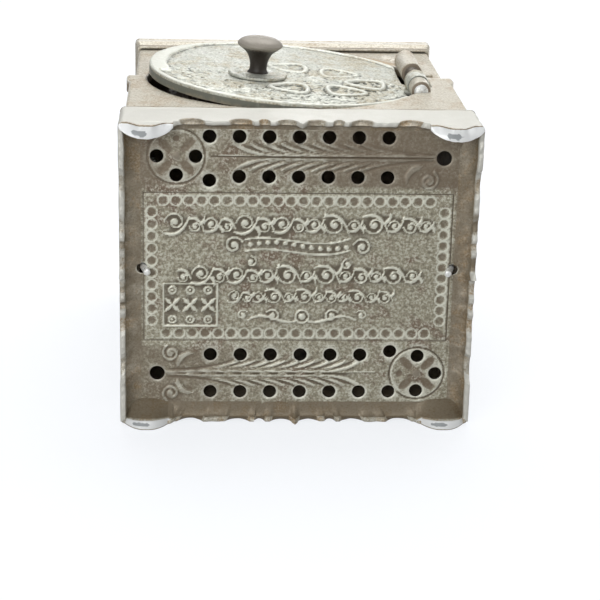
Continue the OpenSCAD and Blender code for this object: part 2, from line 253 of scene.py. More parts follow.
def make_mesh(name, verts, faces, material, sharp=38, cavity=None, stain=None):
    """A smooth-shaded mesh object from millimetre points."""
    mesh = bpy.data.meshes.new(name)
    mesh.from_pydata((np.asarray(verts, float) * MM).tolist(), [], faces)
    mesh.validate()
    mesh.polygons.foreach_set("use_smooth", [True] * len(mesh.polygons))
    mesh.set_sharp_from_angle(angle=math.radians(sharp))
    for label, values in (("cavity", cavity), ("stain", stain)):
        if values is not None:
            layer = mesh.attributes.new(label, "FLOAT", "POINT")
            layer.data.foreach_set("value", np.asarray(values, np.float32).ravel())
    mesh.materials.append(material)
    thing = bpy.data.objects.new(name, mesh)
    bpy.context.scene.collection.objects.link(thing)
    return thing


def keep(thing, body, slot, *nodes):
    """Lifts a piece onto the feet, rides it on its body, and hides the nodes it stands for; slot is not used.
    """
    thing.data.transform(Matrix.Translation((0, 0, LIFT * MM)))
    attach(thing, body)
    if nodes:
        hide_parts(*nodes)
    return thing


def stand_ajar(thing):
    """Turns a door piece from closed to where the door stands at rest."""
    there = Vector((HINGE_X * MM, HINGE_Y * MM, 0))
    turn = Matrix.Translation(there) @ Matrix.Rotation(AJAR, 4, "Z") @ Matrix.Translation(-there)
    thing.data.transform(turn)
    return thing


def smooth_step(x, low, high):
    t = np.clip((x - low) / (high - low), 0, 1)
    return t * t * (3 - 2 * t)


def value_noise(u, v, size, seed):
    """Smooth noise from -1 to 1 over a plane, by mixed random lattice values."""
    table = np.random.default_rng(seed).uniform(-1, 1, (64, 64))
    x, y = u / size, v / size
    i, j = np.floor(x).astype(int), np.floor(y).astype(int)
    fx, fy = x - i, y - j
    fx, fy = fx * fx * (3 - 2 * fx), fy * fy * (3 - 2 * fy)
    corner = lambda a, b: table[(i + a) % 64, (j + b) % 64]
    low = corner(0, 0) * (1 - fx) + corner(1, 0) * fx
    high = corner(0, 1) * (1 - fx) + corner(1, 1) * fx
    return low * (1 - fy) + high * fy


def blur(field, radius):
    """A box blur, twice, over a 2D array."""
    for axis in (0, 1, 0, 1):
        pad = [(radius, radius) if a == axis else (0, 0) for a in (0, 1)]
        total = np.cumsum(np.pad(field, pad, mode="edge"), axis=axis)
        total = np.insert(total, 0, 0, axis=axis)
        size = field.shape[axis]
        high = np.take(total, np.arange(2 * radius + 1, 2 * radius + 1 + size), axis=axis)
        field = (high - np.take(total, np.arange(size), axis=axis)) / (2 * radius + 1)
    return field


# Cross sections of a stroke: height by the distance from its middle, as a share of its half width.
ROUND = lambda t: np.sqrt(np.clip(1 - t * t, 0, 1))
SOFT = lambda t: (1 - np.clip(t, 0, 1) ** 2) ** 2
VEINED = lambda t: ROUND(t) * (0.55 + 0.45 * np.clip(t * 3, 0, 1))


class Relief:
    """A height field over a flat panel, in millimetres, that strokes and stamps are cast into."""

    def __init__(self, low_u, low_v, high_u, high_v, step):
        self.step = step
        self.u = np.arange(low_u, high_u + step * 0.5, step)
        self.v = np.arange(low_v, high_v + step * 0.5, step)
        self.U, self.V = np.meshgrid(self.u, self.v, indexing="ij")
        self.H = np.zeros_like(self.U)
        self.cut = np.zeros_like(self.U)
        self.stain = np.zeros_like(self.U)
        # shine is a painted highlight, added to the painted light.
        self.shine = np.zeros_like(self.U)

    def window(self, low_u, low_v, high_u, high_v):
        i = np.searchsorted(self.u, [low_u, high_u])
        j = np.searchsorted(self.v, [low_v, high_v])
        return slice(i[0], i[1]), slice(j[0], j[1])

    def put(self, where, value, layer="H"):
        field = getattr(self, layer)
        field[where] = np.maximum(field[where], value)

    def stroke(self, points, width, height, shape=ROUND, layer="H"):
        """Casts a line of the given half width at each point."""
        points = np.asarray(points, float)
        width = np.broadcast_to(np.asarray(width, float), (len(points),))
        height = np.broadcast_to(np.asarray(height, float), (len(points),))
        for a, b, wa, wb, ha, hb in zip(points, points[1:], width, width[1:], height, height[1:]):
            reach = max(wa, wb)
            low, high = np.minimum(a, b) - reach, np.maximum(a, b) + reach
            w = self.window(*low, *high)
            if self.U[w].size == 0:
                continue
            along = b - a
            du, dv = self.U[w] - a[0], self.V[w] - a[1]
            t = np.clip((du * along[0] + dv * along[1]) / max(along @ along, 1e-9), 0, 1)
            gap = np.hypot(du - t * along[0], dv - t * along[1])
            self.put(w, (ha + t * (hb - ha)) * shape(gap / np.maximum(wa + t * (wb - wa), 1e-3)), layer)

    def dot(self, u, v, radius, height, shape=ROUND, layer="H"):
        w = self.window(u - radius, v - radius, u + radius, v + radius)
        gap = np.hypot(self.U[w] - u, self.V[w] - v)
        self.put(w, height * shape(gap / radius), layer)

    def dish(self, u, v, radius, depth):
        """A flat round hollow, stained, with a painted highlight round its lip."""
        w = self.window(u - radius * 1.5, v - radius * 1.5, u + radius * 1.5, v + radius * 1.5)
        gap = np.hypot(self.U[w] - u, self.V[w] - v)
        inside = 1 - smooth_step(gap, radius - 0.25, radius + 0.05)
        self.put(w, depth * inside, "cut")
        self.put(w, 0.62 * inside, "stain")
        self.put(w, 0.3 * SOFT(np.abs(gap - radius - 0.25) / 0.4), "shine")

    def ring(self, u, v, radius, half, height, shape=ROUND, layer="H"):
        reach = radius + half
        w = self.window(u - reach, v - reach, u + reach, v + reach)
        gap = np.abs(np.hypot(self.U[w] - u, self.V[w] - v) - radius)
        self.put(w, height * shape(gap / half), layer)

    def line_box(self, low, high, half, height, layer="H"):
        (a, b), (c, d) = low, high
        self.stroke([(a, b), (c, b), (c, d), (a, d), (a, b)], half, height, SOFT, layer)

    def height(self):
        return self.H - self.cut


def bend(a, b, c, d, count=14):
    """Points on a cubic curve."""
    t = np.linspace(0, 1, count)[:, None]
    a, b, c, d = (np.asarray(p, float) for p in (a, b, c, d))
    return (1 - t) ** 3 * a + 3 * (1 - t) ** 2 * t * b + 3 * (1 - t) * t * t * c + t ** 3 * d


def curl(u, v, outer, inner, start, turns, count=26):
    """Points on a spiral from its outer end inwards."""
    t = np.linspace(0, 1, count)
    radius = outer + (inner - outer) * t ** 0.8
    angle = math.radians(start) + 2 * math.pi * turns * t
    return np.stack([u + radius * np.cos(angle), v + radius * np.sin(angle)], 1)


def taper(count, low, high, power=1.0):
    """Half widths that swell in the middle of a stroke."""
    t = np.linspace(0, 1, count)
    return low + (high - low) * np.sin(math.pi * t ** power)


def leaf(relief, a, b, sweep, width, height, layer="H"):
    """A leaf from a to b that bows sideways by sweep."""
    a, b = np.asarray(a, float), np.asarray(b, float)
    side = np.array([-(b - a)[1], (b - a)[0]])
    points = bend(a, a + (b - a) * 0.3 + side * sweep, a + (b - a) * 0.7 + side * sweep, b, 10)
    relief.stroke(points, taper(10, width * 0.25, width, 0.7), height, VEINED, layer)


def scroll(relief, u, v, size, start, turns, height, width=None, bead=True):
    """A spiral scroll that ends in a bead."""
    points = curl(u, v, size, size * 0.22, start, turns)
    wide = width or size * 0.2
    relief.stroke(points, np.linspace(wide * 0.6, wide, len(points)), height)
    if bead:
        relief.dot(u, v, size * 0.3, height * 1.1)


def snapped_grid(relief, outline):
    """The relief's grid, with the points beside the outline moved onto it, and which ones those are."""
    distance = outline(relief.U, relief.V)
    index = np.arange(distance.size).reshape(distance.shape)
    distance = distance.ravel()
    snap = np.zeros(distance.size, bool)
    for a, b in ((index[:-1], index[1:]), (index[:, :-1], index[:, 1:]), (index[:-1, :-1], index[1:, 1:])):
        a, b = a.ravel(), b.ravel()
        crossing = distance[a] * distance[b] < 0
        nearer = np.where(np.abs(distance[a]) < np.abs(distance[b]), a, b)
        snap[nearer[crossing]] = True
    u, v = relief.U.flatten(), relief.V.flatten()
    tiny = 1e-3
    for _ in range(2):
        su, sv = u[snap], v[snap]
        here = outline(su, sv)
        gu = (outline(su + tiny, sv) - outline(su - tiny, sv)) / (2 * tiny)
        gv = (outline(su, sv + tiny) - outline(su, sv - tiny)) / (2 * tiny)
        size = np.maximum(gu * gu + gv * gv, 1e-6)
        u[snap] -= here * gu / size
        v[snap] -= here * gv / size
    return u, v, distance, index, snap


def inner_triangles(u, v, index, outline):
    """The grid's triangles whose middles are inside the outline."""
    a, b, c, d = (part.ravel() for part in (index[:-1, :-1], index[1:, :-1], index[1:, 1:], index[:-1, 1:]))
    tris = np.concatenate([np.stack([a, b, c], 1), np.stack([a, c, d], 1)])
    return tris[outline(u[tris].mean(1), v[tris].mean(1)) < 0]


def open_edges(tris, count):
    """The edges that only one triangle has."""
    edges = np.concatenate([tris[:, [0, 1]], tris[:, [1, 2]], tris[:, [2, 0]]])
    forwards = edges[:, 0] * count + edges[:, 1]
    backwards = edges[:, 1] * count + edges[:, 0]
    return edges[~np.isin(forwards, backwards)]


def cast_plate(name, relief, outline, thickness, origin, axes, material, edge=0.35, grain=0.03, deep=0.3,
               inner=None, inner_walls=True):
    """A cast plate with the relief on its face, true holes where outline is positive, walls and a back.

    origin is the face's zero level at u = v = 0, and axes are the directions of u, v and outwards. The back,
    and the walls unless inner_walls is off, are of the inner material, if there is one. The face's painted
    light is painted shade in hollows and beside raised strokes and a painted highlight on high spots, shine
    marks and edges; the back is painted deep shade, and the walls shade towards it.
    """
    u, v, distance, index, snap = snapped_grid(relief, outline)
    tris = inner_triangles(u, v, index, outline)
    inside = np.minimum(distance, 0)
    round_off = edge - np.sqrt(np.clip(edge ** 2 - np.clip(edge + inside, 0, edge) ** 2, 0, None))
    round_off[snap] = edge * 0.8
    wobble = grain * (value_noise(u, v, 1.1, 3) + 0.7 * value_noise(u, v, 0.5, 4))
    wobble += 0.05 * value_noise(u, v, 9, 5)
    height = relief.height()
    w = height.ravel() + wobble - round_off
    # Painted light: painted shade in hollows and beside raised strokes, a painted highlight on high spots and
    # shine marks.
    hollow = height - blur(height, max(2, int(round(1.0 / relief.step))))
    cavity = np.clip(hollow / deep + relief.shine, -1, 1).ravel()
    # A painted highlight along the plate's edges.
    cavity[snap] = 0.6
    used = np.unique(tris)
    count = len(used)
    remap = np.full(u.size, -1)
    remap[used] = np.arange(count)
    tris = remap[tris]
    along_u, along_v, outwards = (np.asarray(axis, float) for axis in axes)
    flat = np.asarray(origin, float) + u[used, None] * along_u + v[used, None] * along_v
    points = np.concatenate([flat + w[used, None] * outwards, flat - thickness * outwards])
    rim = open_edges(tris, count)
    walls = np.stack([rim[:, 0], rim[:, 0] + count, rim[:, 1] + count, rim[:, 1]], 1)
    faces = tris.tolist() + (tris[:, ::-1] + count).tolist() + walls.tolist()
    # The back gets deep painted shade, and the walls shade towards it.
    shade = np.concatenate([cavity[used], np.full(count, -2.5)])
    stain = np.concatenate([relief.stain.ravel()[used], np.full(count, 0.5)])
    plate = make_mesh(name, points, faces, material, 42, shade, stain)
    if inner:
        plate.data.materials.append(inner)
        last = len(faces) if inner_walls else 2 * len(tris)
        place = np.arange(len(faces))
        plate.data.polygons.foreach_set("material_index", ((place >= len(tris)) & (place < last)).astype(int))
    return plate


def rect_loop(half_w, half_d, radius, per_side, per_corner):
    """Points round a rounded rectangle from its +X -Y corner, counter-clockwise seen from above."""
    a, b = half_w - radius, half_d - radius
    arcs = []
    for (cx, cy), start in (((a, -b), -90), ((a, b), 0), ((-a, b), 90), ((-a, -b), 180)):
        angle = np.radians(np.linspace(start, start + 90, per_corner + 1))
        arcs.append(np.column_stack([cx + radius * np.cos(angle), cy + radius * np.sin(angle)]))
    points = []
    for k, arc in enumerate(arcs):
        share = np.linspace(0, 1, per_side + 1)[1:-1, None]
        points += [arc, arc[-1] * (1 - share) + arcs[(k + 1) % 4][0] * share]
    return np.vstack(points)


def sweep_loop(name, sections, material, cavity=None, stain=None, sharp=38):
    """A closed ring from an array of cross sections: sections[i, k] is point k of section i."""
    n, m = sections.shape[:2]
    index = np.arange(n * m).reshape(n, m)
    after, beside = np.roll(index, -1, 0), np.roll(index, -1, 1)
    across = np.roll(after, -1, 1)
    faces = np.stack([index, after, across, beside], -1).reshape(-1, 4).tolist()
    return make_mesh(name, sections.reshape(-1, 3), faces, material, sharp, cavity, stain)


def face_outwards(thing):
    """Makes a closed mesh's faces point outwards."""
    build = bmesh.new()
    build.from_mesh(thing.data)
    bmesh.ops.recalc_face_normals(build, faces=build.faces)
    build.to_mesh(thing.data)
    build.free()
    return thing


def lathe(name, profile, centre, axis, material, turns=72, wobble=0.0, radial=None, sharp=38, cavity=None):
    """A turned solid: profile holds (radius, height) from one end of the axis to the other."""
    axis = np.asarray(axis, float) / np.linalg.norm(axis)
    side = np.cross(axis, (0, 0, 1) if abs(axis[2]) < 0.9 else (1, 0, 0))
    side /= np.linalg.norm(side)
    other = np.cross(axis, side)
    angle = np.linspace(0, 2 * math.pi, turns, endpoint=False)
    verts, rows, shade = [], [], []
    for k, (radius, height) in enumerate(profile):
        shade += [cavity(height) if cavity else 0.0] * (1 if radius < 1e-6 else turns)
        if radius < 1e-6:
            rows.append([len(verts)])
            verts.append(np.asarray(centre) + axis * height)
            continue
        row = []
        for a in angle:
            r = radius * (1 + wobble * (math.sin(2 * a + 1) + 0.6 * math.sin(5 * a + k)))
            if radial:
                r += radial(a, radius, height)
            row.append(len(verts))
            verts.append(np.asarray(centre) + axis * height + r * (math.cos(a) * side + math.sin(a) * other))
        rows.append(row)
    faces = []
    for low, high in zip(rows, rows[1:]):
        for i in range(turns):
            j = (i + 1) % turns
            if len(low) == 1 and len(high) > 1:
                faces.append([low[0], high[j], high[i]])
            elif len(high) == 1 and len(low) > 1:
                faces.append([low[i], low[j], high[0]])
            elif len(low) > 1:
                faces.append([low[i], low[j], high[j], high[i]])
    return face_outwards(make_mesh(name, verts, faces, material, sharp, shade))


def rounded(points, count=6):
    """Rounds a profile by a Catmull-Rom curve through its points."""
    points = np.asarray(points, float)
    padded = np.vstack([2 * points[0] - points[1], points, 2 * points[-1] - points[-2]])
    out = []
    for p0, p1, p2, p3 in zip(padded, padded[1:], padded[2:], padded[3:]):
        for t in np.linspace(0, 1, count, endpoint=False):
            out.append(0.5 * (2 * p1 + (p2 - p0) * t + (2 * p0 - 5 * p1 + 4 * p2 - p3) * t * t
                              + (3 * p1 - p0 - 3 * p2 + p3) * t ** 3))
    out.append(points[-1])
    out = np.array(out)
    out[:, 0] = np.maximum(out[:, 0], 0)
    return out


# ---------------------------------------------------------------- the base


def vents():
    """(u, v, radius) of every vent hole, in the floor's own plane seen from below."""
    holes = []
    bands = ((NEAR_BAND, -0.4, 7.4, NEAR_FLOWER, NEAR_END, (0, -90, 180)),
             (FAR_BAND, 1.1, 7.7, FAR_FLOWER, FAR_END, (90, 0, -90)))
    for v, row, pitch, flower, end, angles in bands:
        for i in range(-3, 4):
            for side in (-1, 1):
                nudge = side if i * flower > 90 and side * v < 0 else 0
                holes.append((row + i * pitch, v + side * 5.1 + nudge, VENT_R))
        holes.append((end, v, END_VENT_R))
        holes += [(flower + 4.8 * math.cos(math.radians(a)), v + 4.8 * math.sin(math.radians(a)), VENT_R)
                  for a in angles]
    return holes


def rosette(r, u, v, blind):
    """A ring of holes with four smooth petals between them; one hole, at angle blind, was never pierced."""
    r.ring(u, v, 7.1, 0.3, 0.24, layer="cut")
    r.ring(u, v, 6.7, 0.25, 0.3, layer="shine")
    r.dot(u, v, 1.15, 0.22)
    r.dot(u, v, 1.3, 1.0, ROUND, "stain")
    for k in range(4):
        a = math.radians(45 + 90 * k)
        path = [(u + t * math.cos(a), v + t * math.sin(a)) for t in (2.5, 3.1, 4.0, 4.8, 5.4)]
        r.stroke(path, (0.9, 1.2, 1.35, 1.2, 0.9), 0.1, SOFT, "cut")
        r.stroke(path, (0.8, 1.15, 1.3, 1.15, 0.8), 1.1, ROUND, "stain")
    a = math.radians(blind)
    spot = (u + 4.5 * math.cos(a), v + 4.5 * math.sin(a))
    r.dot(*spot, 1.4, 0.28, SOFT, "cut")
    r.dot(*spot, 1.6, 1.0, SOFT, "stain")


def plume(r, u, v, side):
    """A long feather from the single hole towards the rosette, its strands fanning out."""
    tip = u - side * 60
    r.stroke([(u - side * 2.4, v), (tip + side * 2, v)], 0.22, 0.2, SOFT, "cut")
    r.stroke([(u - side * 2.4, v + 0.4), (tip + side * 4, v + 0.35)], (0.45, 0.2), 0.16)
    for k in range(9):
        start = u - side * (3.0 + 4.7 * k)
        reach = 18 - 0.8 * k
        spread = 3.4
        for turn in (-1, 1):
            path = bend((start, v + turn * 0.25), (start - side * reach * 0.5, v + turn * 0.5),
                        (start - side * reach * 0.8, v + turn * spread * 0.45),
                        (start - side * reach, v + turn * spread), 12)
            r.stroke(path, taper(12, 0.2, 0.5, 1.4), 0.3)
            r.stroke(path + np.array([side * 0.7, turn * 0.7]), 0.35, 0.14, SOFT, "cut")
            r.stroke(path + np.array([side * 0.7, turn * 0.7]), 0.45, 0.6, SOFT, "stain")


def running_scroll(r, low_u, high_u, v, size, height, first=0):
    """A vine of scrolls, uneven in size, that curl up and down in turn."""
    sizes = (1.3, 0.75, 0.9, 0.7, 1.15, 0.8, 1.0, 0.7, 0.85, 1.25, 0.75)
    u, k = low_u, first
    while u < high_u - size:
        own = size * sizes[k % len(sizes)]
        pitch, turn = own * 2.1, 1 if k % 2 == 0 else -1
        u += pitch / 2
        middle = v + turn * size * 0.1 + (own - size) * 0.5
        scroll(r, u, middle, own * 0.9, 180, -turn * 1.3, height, width=size * 0.15)
        stem = bend((u - pitch * 0.5, v - turn * own * 0.7), (u - pitch * 0.1, v - turn * own * 1.1),
                    (u + pitch * 0.3, v - turn * own * 0.9), (u + pitch * 0.55, v + turn * own * 0.7), 12)
        r.stroke(stem, taper(12, size * 0.08, size * 0.2), height * 0.9)
        if k % 3:
            leaf(r, (u + pitch * 0.3, v - turn * own * 0.1), (u + pitch * 0.6, v - turn * own * 1.1),
                 turn * 0.25, size * 0.22, height)
        if k % 4 == 1:
            r.dot(u - pitch * 0.4, v + own * 0.95, size * 0.18, height * 0.9)
        u += pitch / 2
        k += 1


def ribbon(r):
    """A curved band with curled ends and a row of beads in it."""
    for lift in (0.0, 3.1):
        path = bend((-13.5, 6.0 + lift), (-5, 8.3 + lift * 0.9), (4, 3.0 + lift * 0.9), (13, 6.4 + lift), 22)
        r.stroke(path, 0.26, 0.34)
    for k in range(12):
        t = (k + 0.6) / 12
        u = -13.5 + 26.5 * t
        v = 6.0 + 1.55 + 0.9 * math.sin(2 * math.pi * t * 0.95)
        r.dot(u, v, 0.66, 0.32, VEINED)
    scroll(r, -16.4, 7.6, 2.5, 20, 1.3, 0.42, width=0.42)
    scroll(r, 16.2, 7.2, 2.5, 160, -1.3, 0.42, width=0.42)
    scroll(r, 12.4, 2.6, 1.5, 90, 1.1, 0.4, width=0.34)
    scroll(r, -11.8, 3.2, 1.5, 90, -1.1, 0.4, width=0.34)


def star_box(r, low, high):
    """A small framed panel of crossed leaves."""
    (a, b), (c, d) = low, high
    r.line_box(low, high, 0.32, 0.36)
    mid_v = (b + d) / 2
    for k in range(3):
        u = a + (c - a) * (k + 0.5) / 3
        for turn in range(4):
            angle = math.radians(45 + 90 * turn)
            r.stroke([(u, mid_v), (u + 1.3 * math.cos(angle), mid_v + 1.3 * math.sin(angle)),
                      (u + 2.5 * math.cos(angle), mid_v + 2.5 * math.sin(angle))], (0.25, 0.6, 0.15), 0.34)
        for end in (b + 1.7, d - 1.7):
            r.ring(u, end, 0.9, 0.28, 0.32)
            r.dot(u, end, 0.4, 0.3)


def base_stain(r):
    """Brown where the plate has gone: the vents near the door, the other vents' end, and the sides."""
    near, far = smooth_step(r.V, 21.5, 23.5), smooth_step(r.V, -18.4, -20.4)
    near_depth = 0.5 + 0.3 * smooth_step(r.U, -8, 18) + 0.25 * smooth_step(r.U, -32, -40)
    r.stain[:] = near * near_depth + far * (0.3 + 0.3 * smooth_step(r.U, 8, -32))
    r.stain += 0.55 * smooth_step(np.abs(r.U), 37, 40) * (1 - near) * (1 - far)


def base_border(r):
    """The panel's engraved line, and the dished dots inside it."""
    low_u, low_v, high_u, high_v = -39.0, -18.0, 38.6, 21.1
    r.line_box((low_u, low_v), (high_u, high_v), 0.3, 0.2, "cut")
    r.line_box((low_u + 0.7, low_v + 0.7), (high_u - 0.7, high_v - 0.7), 0.4, 0.15, "shine")
    for count, start, span, v in ((22, -34.0, 66.9, 19.2), (21, -33.3, 66.2, -16.0)):
        for k in range(count):
            r.dish(start + span * k / (count - 1), v, 1.12, 0.12)
    for count, start, span, u in ((10, 16.2, 28.8, -36.9), (11, 16.3, 28.9, 36.6)):
        for k in range(count):
            r.dish(u, start - span * k / (count - 1), 1.12, 0.12)


def base_relief():
    """The pierced floor's cast ornament, seen from below."""
    r = Relief(-BODY_W / 2 - 0.4, -BODY_D / 2 - 0.4, BODY_W / 2 + 0.4, BODY_D / 2 + 0.4, 0.31)
    base_stain(r)
    base_border(r)
    running_scroll(r, -34.2, 34.0, 13.0, 2.35, 0.36)
    ribbon(r)
    running_scroll(r, -30.6, 31.4, -0.4, 2.3, 0.36, 3)
    running_scroll(r, -17.8, 23.6, -6.1, 1.8, 0.34, 6)
    for turn in (-1, 1):
        scroll(r, turn * 7.4 + 1.3, -11.2, 1.9, 90 - turn * 60, turn * 1.25, 0.34)
        scroll(r, turn * 15.2 + 1.3, -11.0, 1.5, 90 + turn * 60, -turn * 1.2, 0.3)
        r.stroke(bend((1.3 + turn * 1.0, -12.4), (1.3 + turn * 5, -14.6), (1.3 + turn * 9, -9.0),
                      (1.3 + turn * 13.8, -12.4), 16), taper(16, 0.2, 0.42), 0.3)
    r.dot(1.3, -11.4, 1.0, 0.4)
    r.ring(1.3, -11.4, 1.7, 0.3, 0.25)
    star_box(r, (-34.0, -14.0), (-20.4, -2.7))
    rosette(r, NEAR_FLOWER, NEAR_BAND, 90)
    rosette(r, FAR_FLOWER, FAR_BAND, 180)
    plume(r, NEAR_END, NEAR_BAND, 1)
    plume(r, FAR_END, FAR_BAND, -1)
    scroll(r, 32.2, NEAR_BAND - 5.8, 2.5, 60, -1.5, 0.36, width=0.62)
    leaf(r, (30.2, NEAR_BAND - 2.2), (26.6, NEAR_BAND - 6.6), -0.3, 0.9, 0.3)
    for turn in (-1, 1):
        scroll(r, -32.0, FAR_BAND + turn * 5.5, 2.4, 180 - turn * 60, turn * 1.4, 0.34, width=0.55)
        leaf(r, (-30.4, FAR_BAND + turn * 2.0), (-26.6, FAR_BAND + turn * 5.4), turn * 0.3, 0.9, 0.3)
    for u, v, radius in vents():
        r.ring(u, v, radius + 0.15, 0.35, 0.9, SOFT, "shine")
        r.ring(u, v, radius + 0.6, 1.5, 0.22, SOFT, "shine")
    return r


def base_outline(u, v):
    """Negative inside the floor, positive past its edges and in its holes."""
    d = np.maximum(np.abs(u) - BODY_W / 2, np.abs(v) - BODY_D / 2)
    for hu, hv, radius in vents():
        d = np.maximum(d, radius - np.hypot(u - hu, v - hv))
    for side in (-1, 1):
        d = np.maximum(d, 1.4 - np.hypot(u - side * 39.3, v + WELL_Y))
    return d


def build_floor():
    # The vents' walls and the floor's back are of the dark iron, as painted shade that makes the holes look
    # black.
    floor = cast_plate("base_floor", base_relief(), base_outline, 0.9, (0, 0, FLOOR_Z), DOWN_AXES, BASE_METAL,
                       edge=0.2, deep=0.26, inner=KNOB_AND_SHADE_METAL)
    keep(floor, "case", "worn_iron", "base")


def apron_edge(t, scale, share):
    """Height of the skirt's lower edge at t from a side's middle: small arches, and a drop at the middle."""
    x = np.abs(t) / scale
    z = np.full_like(x, 3.1)
    for middle, half, rise in ((27.2, 3.4, 2.5), (15.0, 3.2, 2.1), (9.2, 1.5, 2.2), (3.6, 2.8, 1.9)):
        z += share * rise * np.clip(1 - ((x - middle) / half) ** 2, 0, 1) ** 0.9
    z -= 2.2 * np.clip(1 - x / 1.1, 0, 1)
    return np.where(x > 31, 1.6 + 1.5 * (1 - smooth_step(x, 31, 32.5)), z)


def ragged(count, reach, seed):
    """Smooth noise round a closed ring."""
    noise = np.random.default_rng(seed).uniform(-1, 1, count)
    kernel = np.hanning(reach)
    ring = np.concatenate([noise[-reach:], noise, noise[:reach]])
    return np.convolve(ring, kernel, "same")[reach:-reach] / 2


def skirt_fields(outer, flat, back):
    """The skirt's lower edge, its thickness there, and where its cove meets the floor."""
    count = len(outer)
    edge = np.where(flat, apron_edge(outer[:, 0], 1.0, 1.0), apron_edge(outer[:, 1], 0.89, 0.5) - 0.8)
    edge = edge + 0.2 * ragged(count, 9, 7)
    wide = np.where(flat, 1.35, 1.5) + 0.14 * ragged(count, 13, 8)
    floor_in = np.where(back, 5.1, np.where(flat, 2.5, 5.4))
    for field in (wide, floor_in):
        field[:] = np.convolve(np.concatenate([field[-6:], field, field[:6]]), np.full(13, 1 / 13), "valid")
    well = np.sqrt(np.clip(1 - ((outer[:, 1] - WELL_Y) / 1.5) ** 2, 0, 1))
    return edge, wide, floor_in - 1.6 * well * ~flat


def skirt_rows(edge, wide, floor_in):
    """(inset, height) of each row of points, from the top down and under, and the lower edge's row."""
    count, wall_in, top = len(edge), 2.42, SKIRT_TOP
    over = [(wall_in, top - 0.2), (wall_in - 0.4, top), (0.22, top), (0.05, top - 0.12), (0, top - 0.4)]
    face = [(0.05 + 0.05 * ragged(count, 21, 9 + k), top - 0.6 + (edge + 0.8 - top + 0.6) * t)
            for k, t in enumerate(np.linspace(0, 1, 9))]
    low = np.minimum(edge, 3.9)
    under = [(0.06, edge + 0.35), (0.25, edge + 0.08), (0.45, edge),
             (wide * 0.6, edge * 0.6 + low * 0.4 + 0.03), (wide - 0.25, low + 0.1), (wide - 0.05, low + 0.4)]
    rise = FLOOR_Z - 0.05 - low - 0.4
    angles = np.linspace(0.1, 1, 9) * math.pi / 2
    cove = [(wide + (floor_in - wide) * (1 - math.cos(a)), low + 0.4 + rise * math.sin(a)) for a in angles]
    inside = [(floor_in + 0.1, FLOOR_Z + 0.5), (floor_in, FLOOR_Z + 1.5), (wall_in, FLOOR_Z + FLOOR_T),
              (wall_in, 12)]
    return over + face + under + cove + inside, len(over) + len(face)


def skirt_shades(shape, first, edge, flat, back):
    """Painted light and stain: a painted highlight on most of the skirt, a painted dark line along its top
    edge as shade at the seam, and painted shade under the back edge and in the arches; brown stain in the
    arches, under the edge and in the cove.
    """
    cavity, stain = np.full(shape, 0.5), np.zeros(shape)
    arch = np.where(flat, smooth_step(edge, 3.3, 4.2), 0.6 * smooth_step(edge, 2.6, 3.1))[:, None]
    under, cove = slice(first, first + 6), slice(first + 6, None)
    # A painted dark line along the skirt's top edge, as shade at the seam.
    cavity[:, 3:5] = -1.6
    # Painted shade under the back edge and in the arches, a painted highlight under the rest.
    cavity[:, under] = np.where(back, 0.1, 0.5)[:, None] - 0.5 * arch
    stain[:, under] = 0.5 * arch + 0.08
    stain[:, first - 4:first] += 0.35 * arch * np.linspace(0.2, 1, 4)
    cavity[:, cove] = 0.0
    stain[:, cove] = np.where(back, 0.85, 0.7)[:, None]
    patches = 0.6 * np.clip(ragged(len(edge), 41, 21) - 0.35, 0, 1) * ~flat
    stain[:, first - 7:first + 6] += patches[:, None] * smooth_step(np.linspace(0, 1.6, 13), 0, 1)
    return cavity, stain


def build_skirt():
    """The skirt: a plain outer face, the arched lower edge, and a cove into the floor."""
    half_w, half_d = BASE_HIGH[0], BASE_HIGH[1]
    reach = 7.0
    outer = rect_loop(half_w, half_d, CORNER_R, 260, 10)
    inner = rect_loop(half_w - reach, half_d - reach, 0.4, 260, 10)
    count = len(outer)
    flat = np.abs(outer[:, 1]) > half_d - 0.8
    back = outer[:, 1] > half_d - 0.8
    edge, wide, floor_in = skirt_fields(outer, flat, back)
    rows, first = skirt_rows(edge, wide, floor_in)
    sections = []
    for inset, z in rows:
        share = (np.broadcast_to(inset, count) / reach)[:, None]
        sections.append(np.column_stack([outer + (inner - outer) * share, np.broadcast_to(z, count)]))
    verts = np.stack(sections, 1)
    verts[..., :2] = np.clip(verts[..., :2], [-half_w, -half_d], [half_w, half_d])
    cavity, stain = skirt_shades(verts.shape[:2], first, edge, flat, back)
    skirt = sweep_loop("base_skirt", verts, SKIRT_METAL, cavity, stain)
    keep(face_outwards(skirt), "case", "worn_iron", "base")


def foot_heights(u, front):
    """Lower edges of a foot at its outer and inner faces, at u from its middle."""
    round_edge = -LIFT + 5.2 * np.clip((np.abs(u) - 0.6) / 5.6, 0, 1.2) ** 2
    if not front:
        return round_edge, np.minimum(round_edge, 1.6) + 0.1
    bracket = -LIFT + 3.1 * smooth_step(np.abs(u + 0.2), 1.2, 5.0)
    return bracket, np.minimum(-LIFT + 3.0 * (np.abs(u) / FOOT_HALF) ** 2, 1.2)


def foot_rows(front, outer_z, inner_z, deep):
    """(inset, height, painted light, stain) of a foot's rows: down its face, under it and up its inner slope.
    """
    slope = 0.5 if front else 3.6
    rows = [(0.2, 6.0, 0.4, 0), (0.0, outer_z + 1.0, 0.5, 0), (0.02, outer_z + 0.25, 0.1, 0.3),
            (0.16, outer_z + 0.05, -0.9, 0), (0.42, outer_z, 0.4, 0)]
    for s in (0.15, 0.3, 0.45, 0.6, 0.75, 0.88):
        rows.append((0.42 + (deep - 0.7) * s, outer_z + (inner_z - outer_z) * s, 0.6, 0))
    rows += [(deep - 0.05, inner_z + 0.05, 1, 0), (deep + 0.05, inner_z + 0.35, 0.2, 0)]
    rise = FLOOR_Z + 0.2 - inner_z - 0.35
    for t in (0.15, 0.4, 0.65, 0.85, 1.0):
        rows.append((deep + 0.05 + slope * t ** 1.3, inner_z + 0.35 + rise * t, 0, 0))
    return rows + [(deep + slope, FLOOR_Z + 1.6, 0, 0), (1.2, FLOOR_Z + 1.8, 0, 0)]


